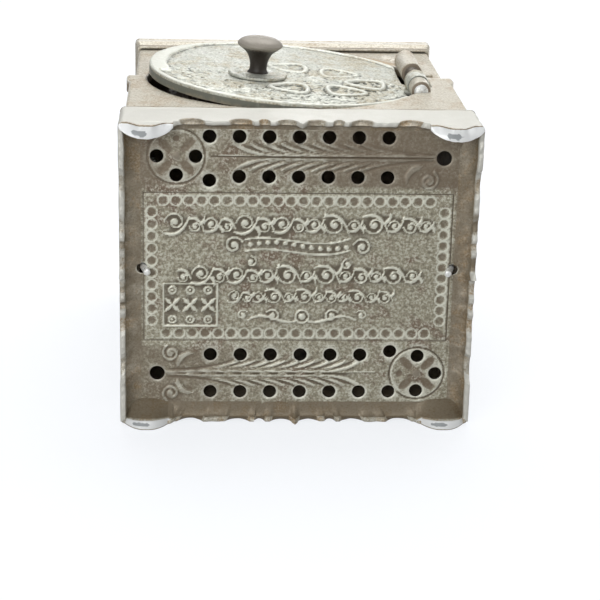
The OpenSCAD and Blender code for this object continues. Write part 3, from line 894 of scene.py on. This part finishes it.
def foot_points(u, sx, sy, rows):
    """A foot's points, row by row, kept inside the skirt's rounded corner."""
    count = len(u)
    across = np.minimum(BASE_HIGH[0] - FOOT_HALF + u, BASE_HIGH[0] - 0.25)
    past = np.clip(across + CORNER_R - BASE_HIGH[0], 0, CORNER_R)
    corner = CORNER_R + 0.05 - np.sqrt(CORNER_R ** 2 - past ** 2)
    verts = []
    for inset, z, _, _ in rows:
        inset, z = np.broadcast_to(inset, count), np.broadcast_to(z, count)
        depth = np.where(past > 0, np.maximum(inset, corner), inset)
        verts.append(np.column_stack([sx * across, sy * (BASE_HIGH[1] - depth), np.maximum(z, -LIFT)]))
    return np.stack(verts, 1)


def build_foot(name, sx, sy):
    """A corner foot: a round bottom worn flat and bright, thin at its ends, with a brown inner slope."""
    count = 61
    u = np.linspace(-FOOT_HALF, FOOT_HALF, count)
    front = sy < 0
    outer_z, inner_z = foot_heights(u, front)
    noise = ragged(count, 7, 3 + sx + 2 * sy)
    deep = (3.5 if front else 2.5) * np.clip(1 - (u / 7.6) ** 2, 0, 1) ** 0.6 + 0.06 * noise
    rows = foot_rows(front, outer_z, inner_z, deep)
    verts = foot_points(u, sx, sy, rows)
    spot, bottom, slope = 1.2 if sx < 0 else -1.0, range(5, 12), 13
    # Painted light per row: a painted highlight on the bottom, brightest at its inner edge, and a dark line
    # along its outer edge.
    cavity = np.stack([np.full(count, float(row[2])) for row in rows], 1)
    stain = np.stack([np.full(count, float(row[3])) for row in rows], 1)
    for k in bottom:
        across = (u - spot) / 2.4
        along = (np.broadcast_to(rows[k][0], count) - deep * 0.62) / (deep.max() * 0.22)
        stain[:, k] = smooth_step(-(np.hypot(across, along) + 0.3 * noise), -1.15, -0.75)
    stain[:, slope:] = 0.9
    m = len(rows)
    index = np.arange(count * m).reshape(count, m)
    beside = np.roll(index, -1, 1)
    faces = np.stack([index[:-1], index[1:], beside[1:], beside[:-1]], -1).reshape(-1, 4).tolist()
    faces += [index[0].tolist(), index[-1].tolist()]
    foot = make_mesh(name, verts.reshape(-1, 3), faces, PAD_METAL, 38, cavity, stain)
    foot.data.materials.append(SKIRT_METAL)
    column = np.tile(np.arange(m), count - 1)
    plain = (column < 2) | (column >= 12)
    foot.data.polygons.foreach_set("material_index", np.append(plain, [True, True]).astype(int))
    keep(face_outwards(foot), "case", "worn_iron", "base")


def build_feet():
    for sx, sy, name in ((-1, -1, "foot_front_left"), (1, -1, "foot_front_right"),
                         (-1, 1, "foot_back_left"), (1, 1, "foot_back_right")):
        build_foot(name, sx, sy)


# ---------------------------------------------------------------- the body


def fan(r, u, v, start, stop, length, count, height):
    """Leaves that fan out from a point, between two angles in degrees."""
    for k in range(count):
        a = math.radians(start + (stop - start) * k / (count - 1))
        reach = length * (0.8 + 0.2 * math.sin(math.pi * k / (count - 1)))
        leaf(r, (u + 1.5 * math.cos(a), v + 1.5 * math.sin(a)),
             (u + reach * math.cos(a), v + reach * math.sin(a)), 0.08, length * 0.11, height)
    r.dot(u, v, 1.7, height * 1.2)


def front_outline(u, v):
    """Negative on the front wall; the belt widens it, and the opening, the hinge and the vents cut it."""
    ear = 1.35 * smooth_step(v, 18.5, 20.5) * (1 - smooth_step(v, 61, 63.5))
    ear = ear + 1.0 * np.clip(1 - ((v - 58.5) / 4.6) ** 2, 0, 1) ** 0.6
    middle, half_high = (FRONT_LOW[2] + FRONT_HIGH[2]) / 2, (FRONT_HIGH[2] - FRONT_LOW[2]) / 2
    d = np.maximum(np.abs(u) - BODY_W / 2 - ear, np.abs(v - middle) - half_high)
    d = np.maximum(d, OPENING_R - np.hypot(u - OPENING_X, v - OPENING_Z))
    notch = np.maximum(np.abs(u - HINGE_X) - KNUCKLE_R - 0.5, np.abs(v - 54) - 4.0)
    vent_gap = np.maximum(np.abs(u) - 32, v - 14)
    return np.maximum(np.maximum(d, -notch), -vent_gap)


def build_front():
    """The front wall: a proud belt, stain round the top of the opening, and a fan in each upper corner."""
    low, high = FRONT_LOW, FRONT_HIGH
    r = Relief(low[0] - 3, low[2] - 0.4, high[0] + 3, high[2] + 0.4, 0.42)
    radius = np.hypot(r.U - OPENING_X, r.V - OPENING_Z)
    belt = smooth_step(r.V, BELT_LOW - 0.8, BELT_LOW + 0.2)
    belt = belt * (1 - smooth_step(r.V, BELT_HIGH - 0.8, BELT_HIGH + 0.4))
    r.H[:] = 0.85 * belt
    r.stain[:] = 0.3 * smooth_step(radius, OPENING_R + 3, OPENING_R)
    r.stain += 0.9 * (1 - smooth_step(radius, OPENING_R + 1.4, OPENING_R + 2.2)) * smooth_step(r.V, 80, 86)
    for side in (-1, 1):
        fan(r, side * 36.0, 94.5, 180 if side > 0 else 0, 262 if side > 0 else -82, 8.5, 6, 0.3)
    plate = cast_plate("front_casting", r, front_outline, FRONT_T, (0, FRONT_Y, 0), FRONT_AXES, BODY_METAL,
                       edge=0.4)
    keep(plate, "case", "worn_nickel", "front_frame")


def barrel(name, z_low, z_high, radius, material):
    """A cast knuckle: a barrel with rounded ends and a bore for the pin."""
    height, cap = z_high - z_low, 0.45
    profile = [(1.3, 0), (radius - cap, 0), (radius - 0.12, 0.18), (radius, cap)]
    profile += [(radius * (1 - 0.02 * math.sin(math.pi * t)), cap + (height - 2 * cap) * t)
                for t in np.linspace(0.06, 0.94, 9)]
    profile += [(radius, height - cap), (radius - 0.12, height - 0.18), (radius - cap, height), (1.3, height)]
    # Painted shade on the barrel's end faces.
    shade = lambda z: -0.8 if min(z, height - z) < 0.1 else 0.0
    return lathe(name, profile, (HINGE_X, HINGE_Y, z_low), UPWARDS, material, 56, wobble=0.008, cavity=shade)


def block(name, low, high, material, bevel=0.4):
    """A small cast block with rounded edges."""
    build = bmesh.new()
    bmesh.ops.create_cube(build, size=1)
    size, middle = np.subtract(high, low), np.add(high, low) / 2
    for vertex in build.verts:
        vertex.co = Vector([(vertex.co[i] * size[i] + middle[i]) * MM for i in range(3)])
    bmesh.ops.bevel(build, geom=list(build.edges), offset=bevel * MM, segments=4, profile=0.5, affect="EDGES")
    mesh = bpy.data.meshes.new(name)
    build.to_mesh(mesh)
    build.free()
    mesh.polygons.foreach_set("use_smooth", [True] * len(mesh.polygons))
    mesh.materials.append(material)
    thing = bpy.data.objects.new(name, mesh)
    bpy.context.scene.collection.objects.link(thing)
    return thing


def build_knuckles():
    """The frame's two knuckles, a shaft of dark iron under the upper one as painted shade in the gap, and the
    webs behind them.
    """
    upper = barrel("upper_knuckle", *UPPER_KNUCKLE, KNUCKLE_R - 0.1, BODY_METAL)
    shape = [(1.3, 0), (1.55, 0.05), (1.5, 2), (1.55, 6), (2.0, 8.2), (1.3, 8.4)]
    start = (HINGE_X, HINGE_Y, DOOR_KNUCKLE[1] + KNUCKLE_GAP)
    neck = lathe("upper_neck", shape, start, UPWARDS, KNOB_AND_SHADE_METAL, 40)
    lower = barrel("lower_knuckle", *LOWER_KNUCKLE, KNUCKLE_R - 0.35, BODY_METAL)
    keep(upper, "case", "worn_nickel", "front_frame")
    keep(neck, "case", "dark_iron", "front_frame")
    keep(lower, "case", "worn_nickel", "front_frame")
    for name, (low_z, high_z) in (("upper_web", UPPER_KNUCKLE), ("lower_web", LOWER_KNUCKLE)):
        low, high = (HINGE_X + 0.3, HINGE_Y + 0.4, low_z + 0.1), (HINGE_X + 6, FRONT_Y + 0.4, high_z - 0.1)
        keep(block(name, low, high, BODY_METAL, 0.35), "case", "worn_nickel", "front_frame")


def build_stops():
    """Two lugs behind the front's rim that the closed door rests against."""
    near, rim = DOOR_Y + DOOR_T + 0.3, OPENING_R - 2
    there = Matrix.Translation(Vector((OPENING_X, 0, OPENING_Z)) * MM)
    for k, angle in enumerate((150, 210)):
        low, high = (-1.85, near, rim + 0.05), (1.85, near + 1.2, rim + 3.85)
        stop = block(f"door_stop_{k + 1}", low, high, BODY_METAL, 0.3)
        stop.data.transform(there @ Matrix.Rotation(math.radians(90 - angle), 4, "Y"))
        keep(stop, "case", "worn_nickel", "front_frame")


def build_pin():
    """The hinge pin, with its peened lower end."""
    low, high = node_box("hinge_pin")
    length = high[2] - low[2]
    shape = [(0, 0), (1.0, 0.05), (1.6, 0.28), (1.88, 0.62), (1.88, 0.85), (1.7, 1.0), (1.2, 1.02),
             (1.2, length - 0.4), (0.95, length - 0.08), (0, length)]
    pin = lathe("hinge_pin_turned", shape, (HINGE_X, HINGE_Y, low[2]), UPWARDS, PAD_METAL, 40, wobble=0.012)
    keep(pin, "case", "steel", "hinge_pin")


def medallion(r, u, v, size, height):
    """A round ornament of eight leaves inside a beaded ring."""
    r.ring(u, v, size, size * 0.07, height)
    r.ring(u, v, size * 0.34, size * 0.06, height)
    r.dot(u, v, size * 0.2, height * 1.3)
    for k in range(8):
        a = math.radians(45 * k + 22.5)
        leaf(r, (u + size * 0.42 * math.cos(a), v + size * 0.42 * math.sin(a)),
             (u + size * 0.9 * math.cos(a), v + size * 0.9 * math.sin(a)), 0.05, size * 0.12, height)
    for k in range(24):
        a = 2 * math.pi * k / 24
        r.dot(u + size * 1.16 * math.cos(a), v + size * 1.16 * math.sin(a), size * 0.07, height * 0.8)


def panel_frame(r, low, high, height):
    """A double line round a panel, with a scroll and two leaves in each corner."""
    (a, b), (c, d) = low, high
    r.line_box(low, high, 0.55, height)
    r.line_box((a + 1.7, b + 1.7), (c - 1.7, d - 1.7), 0.3, height * 0.6)
    for u, v, su, sv in ((a, b, 1, 1), (c, b, -1, 1), (a, d, 1, -1), (c, d, -1, -1)):
        scroll(r, u + su * 6.0, v + sv * 6.0, 3.0, 225 if su * sv > 0 else 315, su * sv * 1.3, height)
        leaf(r, (u + su * 3.0, v + sv * 4.0), (u + su * 3.2, v + sv * 13), su * sv * 0.12, 1.0, height)
        leaf(r, (u + su * 4.0, v + sv * 3.0), (u + su * 13, v + sv * 3.2), -su * sv * 0.12, 1.0, height)


def belt_relief(size, half):
    """The ornament of a side's lower belt."""
    r = Relief(*size, 0.5)
    panel_frame(r, (-half + 4, 24), (half - 4, 58), 0.35)
    medallion(r, 0, 41, 9.0, 0.35)
    for turn in (-1, 1):
        for k in range(3):
            u = turn * (14.0 + 5.2 * k)
            leaf(r, (u, 41), (u + turn * 4.6, 47.2), turn * 0.25, 1.0, 0.34)
            leaf(r, (u, 41), (u + turn * 4.6, 34.8), -turn * 0.25, 1.0, 0.34)
        r.stroke([(turn * 12, 41), (turn * (half - 6), 41)], 0.4, 0.34)
    return r.H


def side_relief(half):
    """A side wall: a proud lower belt, and an upper panel, each framed."""
    size = (-half - 0.4, WALL_LOW - 0.4, half + 0.4, SIDE_HIGH[2] + 0.4)
    r = Relief(*size, 0.5)
    panel_frame(r, (-half + 4, 66), (half - 4, 96), 0.45)
    medallion(r, 0, 81, 9.5, 0.5)
    for turn in (-1, 1):
        scroll(r, turn * 18.5, 81, 3.6, 90, -turn * 1.5, 0.45)
        leaf(r, (turn * 13.5, 78.8), (turn * 24.5, 75.5), -turn * 0.2, 1.2, 0.42)
        leaf(r, (turn * 13.5, 83.2), (turn * 24.5, 86.5), turn * 0.2, 1.2, 0.42)
    belt = r.window(-half - 0.5, BELT_LOW, half + 0.5, BELT_HIGH)
    edge = np.minimum(r.V[belt] - BELT_LOW, BELT_HIGH - r.V[belt])
    r.H[belt] = 1.45 * smooth_step(edge, 0, 0.9)
    r.H += belt_relief(size, half)
    return r


def build_sides():
    half = (BODY_D - FRONT_T - WALL_T) / 2
    middle = -BODY_D / 2 + FRONT_T + half
    centre_z, half_z = (WALL_LOW + SIDE_HIGH[2]) / 2, (SIDE_HIGH[2] - WALL_LOW) / 2
    outline = lambda u, v: np.maximum(np.abs(u) - half, np.abs(v - centre_z) - half_z)
    for name, sign in (("right_side", 1), ("left_side", -1)):
        place, axes = (sign * BODY_W / 2, middle, 0), ((0, sign, 0), (0, 0, 1), (sign, 0, 0))
        wall = cast_plate(name + "_casting", side_relief(half), outline, WALL_T, place, axes, BODY_METAL)
        keep(wall, "case", "worn_nickel", name)


def build_back():
    """The back wall, with its own framed ornament."""
    low, high = BACK_LOW, BACK_HIGH
    r = Relief(-BODY_W / 2 - 0.4, low[2] - 0.4, BODY_W / 2 + 0.4, high[2] + 0.4, 0.55)
    panel_frame(r, (-37, 23), (37, 95), 0.42)
    medallion(r, 0, 59, 15, 0.48)
    for turn in (-1, 1):
        for lift in (-1, 1):
            scroll(r, turn * 24, 59 + lift * 14, 4.6, 90, -turn * lift * 1.6, 0.45)
            leaf(r, (turn * 12, 59 + lift * 17), (turn * 30, 59 + lift * 25), turn * lift * 0.15, 1.5, 0.42)
            leaf(r, (turn * 17.5, 59 + lift * 6), (turn * 31, 59 + lift * 4), -turn * lift * 0.2, 1.3, 0.42)
        leaf(r, (0, 59 + turn * 18.5), (0, 59 + turn * 32), 0.0, 2.0, 0.5)
    centre_z, half_z = (low[2] + high[2]) / 2, (high[2] - low[2]) / 2
    outline = lambda u, v: np.maximum(np.abs(u) - BODY_W / 2, np.abs(v - centre_z) - half_z)
    plate = cast_plate("back_casting", r, outline, WALL_T, (0, BODY_D / 2, 0), BACK_AXES, BODY_METAL)
    keep(plate, "case", "worn_nickel", "back_plate")


def slot_gap(u, v):
    """Distance outside the coin slot."""
    return np.maximum(np.abs(u) - SLOT_HALF_W, np.abs(v - SLOT_Y) - SLOT_HALF_D)


def top_outline(u, v):
    """Negative on the top face inside its moulding; the rods' wells and the coin slot cut it."""
    inset = 3.4
    d = np.maximum(np.abs(u) - TOP_HIGH[0] + inset, np.abs(v) - TOP_HIGH[1] + inset)
    for side in (-1, 1):
        d = np.maximum(d, 2.25 - np.hypot(u - side * 39.0, v - WELL_Y))
    return np.maximum(d, -slot_gap(u, v))


def top_relief():
    """The top's ornament round the raised lip of the coin slot."""
    half_w, half_d = TOP_HIGH[0], TOP_HIGH[1]
    r = Relief(-half_w, -half_d, half_w, half_d, 0.45)
    r.line_box((-half_w + 7, -half_d + 7), (half_w - 7, half_d - 7), 0.5, 0.4)
    r.H = np.maximum(r.H, 0.5 * SOFT(np.abs(slot_gap(r.U, r.V) - 1.0) / 0.9))
    for turn in (-1, 1):
        for lift in (-1, 1):
            start = 90 * (1 - turn) + 180
            fan(r, turn * (half_w - 10), lift * (half_d - 10), start, start + turn * lift * 90, 14, 7, 0.42)
            scroll(r, turn * 12, lift * 15, 4.0, 90, -turn * lift * 1.5, 0.42)
            leaf(r, (turn * 4, lift * 9), (turn * 16, lift * 9.5), turn * lift * 0.18, 1.3, 0.42)
            leaf(r, (turn * 17, lift * 15), (turn * 27, lift * 21), -turn * lift * 0.2, 1.3, 0.42)
        scroll(r, turn * 24, 0, 3.6, 90, turn * 1.5, 0.42)
        r.dot(0, turn * 14, 1.6, 0.5)
        leaf(r, (0, turn * 16.5), (0, turn * 27), 0.0, 1.6, 0.42)
    return r


def build_cornice(lip):
    """The moulding round the top, from its foot up, over its lip and down inside it."""
    low, top, deep = TOP_LOW[2], TOP_HIGH[2], 6.0
    outer = rect_loop(TOP_HIGH[0], TOP_HIGH[1], 1.2, 90, 8)
    inner = rect_loop(TOP_HIGH[0] - deep, TOP_HIGH[1] - deep, 0.3, 90, 8)
    rising = ((1.48, 0.2), (1.2, 0), (0.9, 0.1), (0.75, 0.7), (0.95, 1.3), (0.9, 1.7), (0.75, 2.4),
              (0.45, 3.2), (0.2, 3.9), (0.05, 4.7), (0.0, 5.5), (0.05, 6.2), (0.3, 6.7), (0.35, 7.0),
              (0.1, 7.4), (0.02, 7.9), (0.12, 8.5))
    over = ((0.5, -0.12), (0.9, 0), (2.2, 0), (2.7, -0.12), (3.1, -lip), (3.6, -lip - 0.4), (3.6, -3.0),
            (1.52, -3.0))
    profile = [(inset, low + z) for inset, z in rising] + [(inset, top + z) for inset, z in over]
    sections = np.stack([np.column_stack([outer + (inner - outer) * inset / deep, np.full(len(outer), z)])
                         for inset, z in profile], 1)
    # Painted light on the moulding: painted shade in two hollows, a painted highlight on its outermost round
    # and along the top.
    cavity = np.zeros(sections.shape[:2])
    for first, last, shade in ((3, 6, -0.4), (9, 12, 0.5), (12, 14, -0.5), (15, 20, 0.6)):
        cavity[:, first:last] = shade
    keep(sweep_loop("cornice", sections, BODY_METAL, cavity), "case", "worn_nickel", "top_plate")


def build_top():
    lip = 0.75
    face = (0, 0, TOP_HIGH[2] - lip + 0.05)
    plate = cast_plate("top_casting", top_relief(), top_outline, 2.4, face, UP_AXES, BODY_METAL)
    keep(plate, "case", "worn_nickel", "top_plate")
    build_cornice(lip)


def build_rods():
    """The tie rods; each lower end pokes out of its well and is bent a little inwards."""
    for name, side in (("left_tie_rod", -1), ("right_tie_rod", 1)):
        low, high = node_box(name)
        x, y = (low[0] + high[0]) / 2, (low[1] + high[1]) / 2
        tip, end, head = 3.0, high[2], high[2] - 0.8
        profile = [(0, tip), (0.5, tip + 0.05), (0.8, tip + 0.2), (0.9, tip + 0.5), (0.9, tip + 1.2),
                   (0.95, 5.2), (1.0, 6.5), (0.98, 8), (0.98, head - 2), (1.0, head), (2.05, head + 0.02),
                   (2.18, head + 0.2), (2.0, end - 0.25), (1.3, end - 0.06), (0, end)]
        rod = lathe(name + "_turned", profile, (x, y, 0), UPWARDS, PAD_METAL, 40, wobble=0.015)
        for vertex in rod.data.vertices:
            lean = float(smooth_step(np.float64(vertex.co.z / MM), 7.0, 3.6))
            vertex.co.x -= side * 0.95 * lean * MM
            vertex.co.y += 0.6 * lean * MM
        keep(rod, "case", "steel", name)


# ---------------------------------------------------------------- the door


def petal(r, u, v, reach, angle, height):
    """A looped petal at reach from the flower's middle: a raised heart-shaped rim round a hollow."""
    a = math.radians(angle)
    out, side = np.array([math.cos(a), math.sin(a)]), np.array([-math.sin(a), math.cos(a)])
    middle = np.array([u, v]) + out * reach
    t = np.linspace(0, 2 * math.pi, 40)
    along = -5.2 * np.cos(t) - 0.9 * np.cos(2 * t) + 0.9
    across = 5.0 * np.sin(t) * (1 - 0.2 * np.cos(t))
    path = middle + along[:, None] * out + across[:, None] * side
    r.dot(*middle, 5.4, 0.35, SOFT, "cut")
    r.stroke(path, 1.5, 0.3, SOFT, "cut")
    r.stroke(path, 0.8, height)
    r.stroke([middle + out * 2.4, middle + out * 5.0], (0.3, 0.7), height * 0.6)


def door_foliage(r):
    """Crowded small leaves all over the door, lower near its top, and scrolls round its lower edge."""
    rng = np.random.default_rng(40)
    for _ in range(1500):
        reach, a = 35.0 * math.sqrt(rng.uniform(0.005, 1)), rng.uniform(0, 2 * math.pi)
        u, v = OPENING_X + reach * math.cos(a), OPENING_Z + reach * math.sin(a)
        low = 1 - 0.62 * float(smooth_step(np.float64(v), 54, 66))
        lean = a + 1.9 + rng.uniform(-0.8, 0.8)
        length = rng.uniform(2.0, 4.4)
        leaf(r, (u, v), (u + length * math.cos(lean), v + length * math.sin(lean)), rng.uniform(-0.5, 0.5),
             rng.uniform(0.45, 0.8), rng.uniform(0.22, 0.42) * low)
    for k in range(7):
        a = math.radians(196 + 17 * k)
        u, v = OPENING_X + 29.5 * math.cos(a), OPENING_Z + 29.5 * math.sin(a)
        scroll(r, u, v, 3.0, math.degrees(a) + 90, 1.3 if k % 2 else -1.3, 0.5, width=0.6)


def door_relief():
    """The door's face: foliage, a flower of five looped petals, a raised rim, and a plain tab at the left."""
    r = Relief(OPENING_X - DOOR_R - 0.4, OPENING_Z - DOOR_R - 0.4, OPENING_X + DOOR_R + 0.4,
               OPENING_Z + DOOR_R + 0.4, 0.33)
    radius = np.hypot(r.U - OPENING_X, r.V - OPENING_Z)
    door_foliage(r)
    r.H *= smooth_step(np.hypot(r.U - KNOB_X, r.V - KNOB_Z), 8.0, 10.0)
    flower = (6.4, 54.4)
    for angle, reach in ((-118, 14.5), (-60, 13.4), (-6, 13.6), (58, 12.0), (114, 14.2)):
        petal(r, *flower, reach, angle, 1.15 if angle < 0 else 0.7)
    r.dot(*flower, 3.4, 0.8, VEINED)
    r.stroke([(-33.0, 63.0), (-27.5, 66.5), (-20.5, 66.0)], (0.3, 0.9, 0.3), 0.2)
    r.H = np.where(radius > 35.9, 0.1 + 0.35 * smooth_step(radius, 35.9, 36.5), r.H)
    side = r.U - 0.014 * (r.V - 62) ** 2
    tab = (1 - smooth_step(side, -34.9, -33.6)) * smooth_step(r.V, 49.4, 52.4)
    tab = tab * (1 - smooth_step(radius, 37.0, 37.4))
    r.H = r.H * (1 - tab) + 0.6 * tab
    r.shine = 0.45 * tab + 0.35 * smooth_step(radius, 36.3, 36.5)
    r.stain = 0.22 * smooth_step(r.V, 60, 80)
    return r


def door_outline(u, v):
    """Negative on the round door, which is notched at its hinge except for the knuckle's tongue."""
    d = np.hypot(u - OPENING_X, v - OPENING_Z) - DOOR_R
    low, high = DOOR_KNUCKLE
    notch = np.maximum(30.7 - u, (high - low) / 2 - np.abs(v - (low + high) / 2))
    return np.maximum(d, -notch)


def build_door():
    # The door's back is of the dark iron as painted shade, and the painted shade of its back darkens its
    # edge.
    plate = cast_plate("door_casting", door_relief(), door_outline, DOOR_T, (0, DOOR_Y, 0), FRONT_AXES,
                       DOOR_METAL, edge=0.3, grain=0.05, deep=0.45, inner=KNOB_AND_SHADE_METAL, inner_walls=False)
    keep(stand_ajar(plate), "door", "door_nickel", "door_plate")
    knuckle = barrel("door_knuckle", *DOOR_KNUCKLE, KNUCKLE_R - 0.05, DOOR_METAL)
    keep(stand_ajar(knuckle), "door", "door_nickel", "door_plate")


def build_knob():
    """The scalloped dial and the knob on it, turned about the door's normal."""
    face = DOOR_Y - 0.1
    scallop = lambda a, radius, height: 0.32 * abs(math.cos(7 * a)) * (radius > 7.2)
    profile = [(0, 0.05), (7.2, 0.05), (7.65, 0.12), (7.7, 0.5), (7.5, 0.8), (7.0, 0.86), (6.3, 0.62),
               (5.6, 0.60), (5.2, 0.84), (4.7, 0.9), (0, 0.9)]
    dial = lathe("dial_scalloped", profile, (KNOB_X, face, KNOB_Z), FORWARDS, DOOR_METAL, 140, radial=scallop)
    keep(stand_ajar(dial), "knob", "door_nickel", "dial")
    shape = rounded([(2.9, 0), (2.5, 0.5), (2.3, 1.2), (2.4, 2.6), (2.75, 3.9), (3.3, 5.0), (4.1, 5.9),
                     (5.2, 6.7), (5.95, 7.3), (6.1, 7.75), (5.9, 8.2), (5.1, 8.9), (3.7, 9.45), (1.9, 9.74),
                     (0, 9.8)], 5)
    # Painted shade on the knob's neck and a painted highlight on its cap.
    shade = lambda height: -1.0 + 1.5 * float(smooth_step(np.float64(height), 5.6, 7.4))
    knob = lathe("knob_turned", np.vstack([[(0, 0)], shape]), (KNOB_X, face - 0.9, KNOB_Z), FORWARDS,
                 KNOB_AND_SHADE_METAL, 88, wobble=0.003, cavity=shade)
    keep(stand_ajar(knob), "knob", "dark_iron", "knob")


# ---------------------------------------------------------------- camera, stage and light


def look(thing, position, target, up, roll=0.0):
    """Puts a camera or light at position, facing the target."""
    ahead = (target - position).normalized()
    right = ahead.cross(up).normalized()
    upward = right.cross(ahead)
    turned = Matrix((right, upward, -ahead)).transposed() @ Matrix.Rotation(roll, 3, "Z")
    thing.matrix_world = Matrix.Translation(position) @ turned.to_4x4()


def add_camera():
    """The camera looks up at the base from below and in front, with the door's side up."""
    data = bpy.data.cameras.new("camera")
    data.sensor_width = 36
    data.lens = 107.4
    camera = bpy.data.objects.new("camera", data)
    bpy.context.scene.collection.objects.link(camera)
    position, target = Vector((-0.02633, -0.14466, -0.42162)), Vector((0.00038, 0.00519, 0.0022))
    look(camera, position, target, Vector((0, -1, 0)), math.radians(1.46))
    bpy.context.scene.camera = camera


def area_light(name, position, target, size, power, colour=(1, 1, 1)):
    data = bpy.data.lights.new(name, "AREA")
    data.size = size
    data.energy = power
    data.color = colour
    light = bpy.data.objects.new(name, data)
    bpy.context.scene.collection.objects.link(light)
    look(light, Vector(position), Vector(target), Vector((0.1, 0.2, 1)))
    light.visible_camera = False


def stage_material():
    """White for the camera from its front, and clear for everything else, so that no view is blocked."""
    material = bpy.data.materials.new("stage")
    material.use_nodes = True
    nodes, link = material.node_tree.nodes, material.node_tree.links.new
    nodes.clear()
    kinds = ("OutputMaterial", "MixShader", "BsdfTransparent", "BsdfDiffuse", "Emission", "AddShader",
             "LightPath", "NewGeometry", "Math", "Math")
    output, blend, clear, white, glow, bright, path, side, front, share = (
        nodes.new("ShaderNode" + kind) for kind in kinds)
    white.inputs["Color"].default_value = (0.28, 0.28, 0.28, 1)
    glow.inputs["Color"].default_value = (0.72, 0.74, 0.77, 1)
    front.operation = "SUBTRACT"
    front.inputs[0].default_value = 1
    share.operation = "MULTIPLY"
    link(white.outputs[0], bright.inputs[0])
    link(glow.outputs[0], bright.inputs[1])
    link(side.outputs["Backfacing"], front.inputs[1])
    link(path.outputs["Is Camera Ray"], share.inputs[0])
    link(front.outputs[0], share.inputs[1])
    link(share.outputs[0], blend.inputs[0])
    link(clear.outputs[0], blend.inputs[1])
    link(bright.outputs[0], blend.inputs[2])
    link(blend.outputs[0], output.inputs[0])
    return material


def add_stage():
    """A floor under the feet, and a plane behind the back, which the safe seems to lie on."""
    material = stage_material()
    reach, back = 3.0, BASE_HIGH[1] * MM
    square = [(-reach, -reach), (reach, -reach), (reach, reach), (-reach, reach)]
    planes = (("floor", [(a, b, 0) for a, b in square]), ("backdrop", [(a, back, b) for a, b in square]))
    for name, corners in planes:
        mesh = bpy.data.meshes.new(name)
        mesh.from_pydata(corners, [], [(0, 1, 2, 3)])
        mesh.materials.append(material)
        plane = bpy.data.objects.new(name, mesh)
        bpy.context.scene.collection.objects.link(plane)


def add_light():
    world = bpy.data.worlds.new("studio")
    bpy.context.scene.world = world
    world.use_nodes = True
    tree = world.node_tree
    background = tree.nodes["Background"]
    background.inputs["Color"].default_value = (1, 1, 1, 1)
    path = tree.nodes.new("ShaderNodeLightPath")
    strength = tree.nodes.new("ShaderNodeMapRange")
    strength.inputs["To Min"].default_value = 0.42
    strength.inputs["To Max"].default_value = 1.0
    tree.links.new(path.outputs["Is Camera Ray"], strength.inputs["Value"])
    tree.links.new(strength.outputs["Result"], background.inputs["Strength"])
    area_light("key_over_door", (0.04, -0.54, 0.36), (0, 0, 0.05), 0.55, 2.8)
    area_light("fill_under", (-0.25, -0.24, -0.53), (0, 0, 0.03), 0.5, 2.45)
    area_light("rim_top", (0.10, 0.15, 0.70), (0, 0, 0.05), 0.5, 4.5)
    area_light("side_right", (0.6, -0.15, 0.15), (0, 0, 0.05), 0.4, 0.8)
    bpy.context.scene.view_settings.view_transform = "Standard"


def paint_cad_nodes():
    """The lock parts keep their CAD shape and take a worn metal."""
    nodes = frame["nodes"]
    for name in ("strike_plate", "lock_case", "crank"):
        nodes[name].data.materials.clear()
        nodes[name].data.materials.append(SHEET_IRON)
    for name in ("strike_rivets", "lock_case_screws", "detent_spring", "detent_rivet", "spindle_washer",
                 "spindle", "crank_pin", "bolt"):
        nodes[name].data.materials.clear()
        nodes[name].data.materials.append(STEEL)


add_camera()
build_floor()
build_skirt()
build_feet()
build_front()
build_knuckles()
build_stops()
build_pin()
build_sides()
build_back()
build_top()
build_rods()
build_door()
build_knob()
paint_cad_nodes()
add_stage()
add_light()
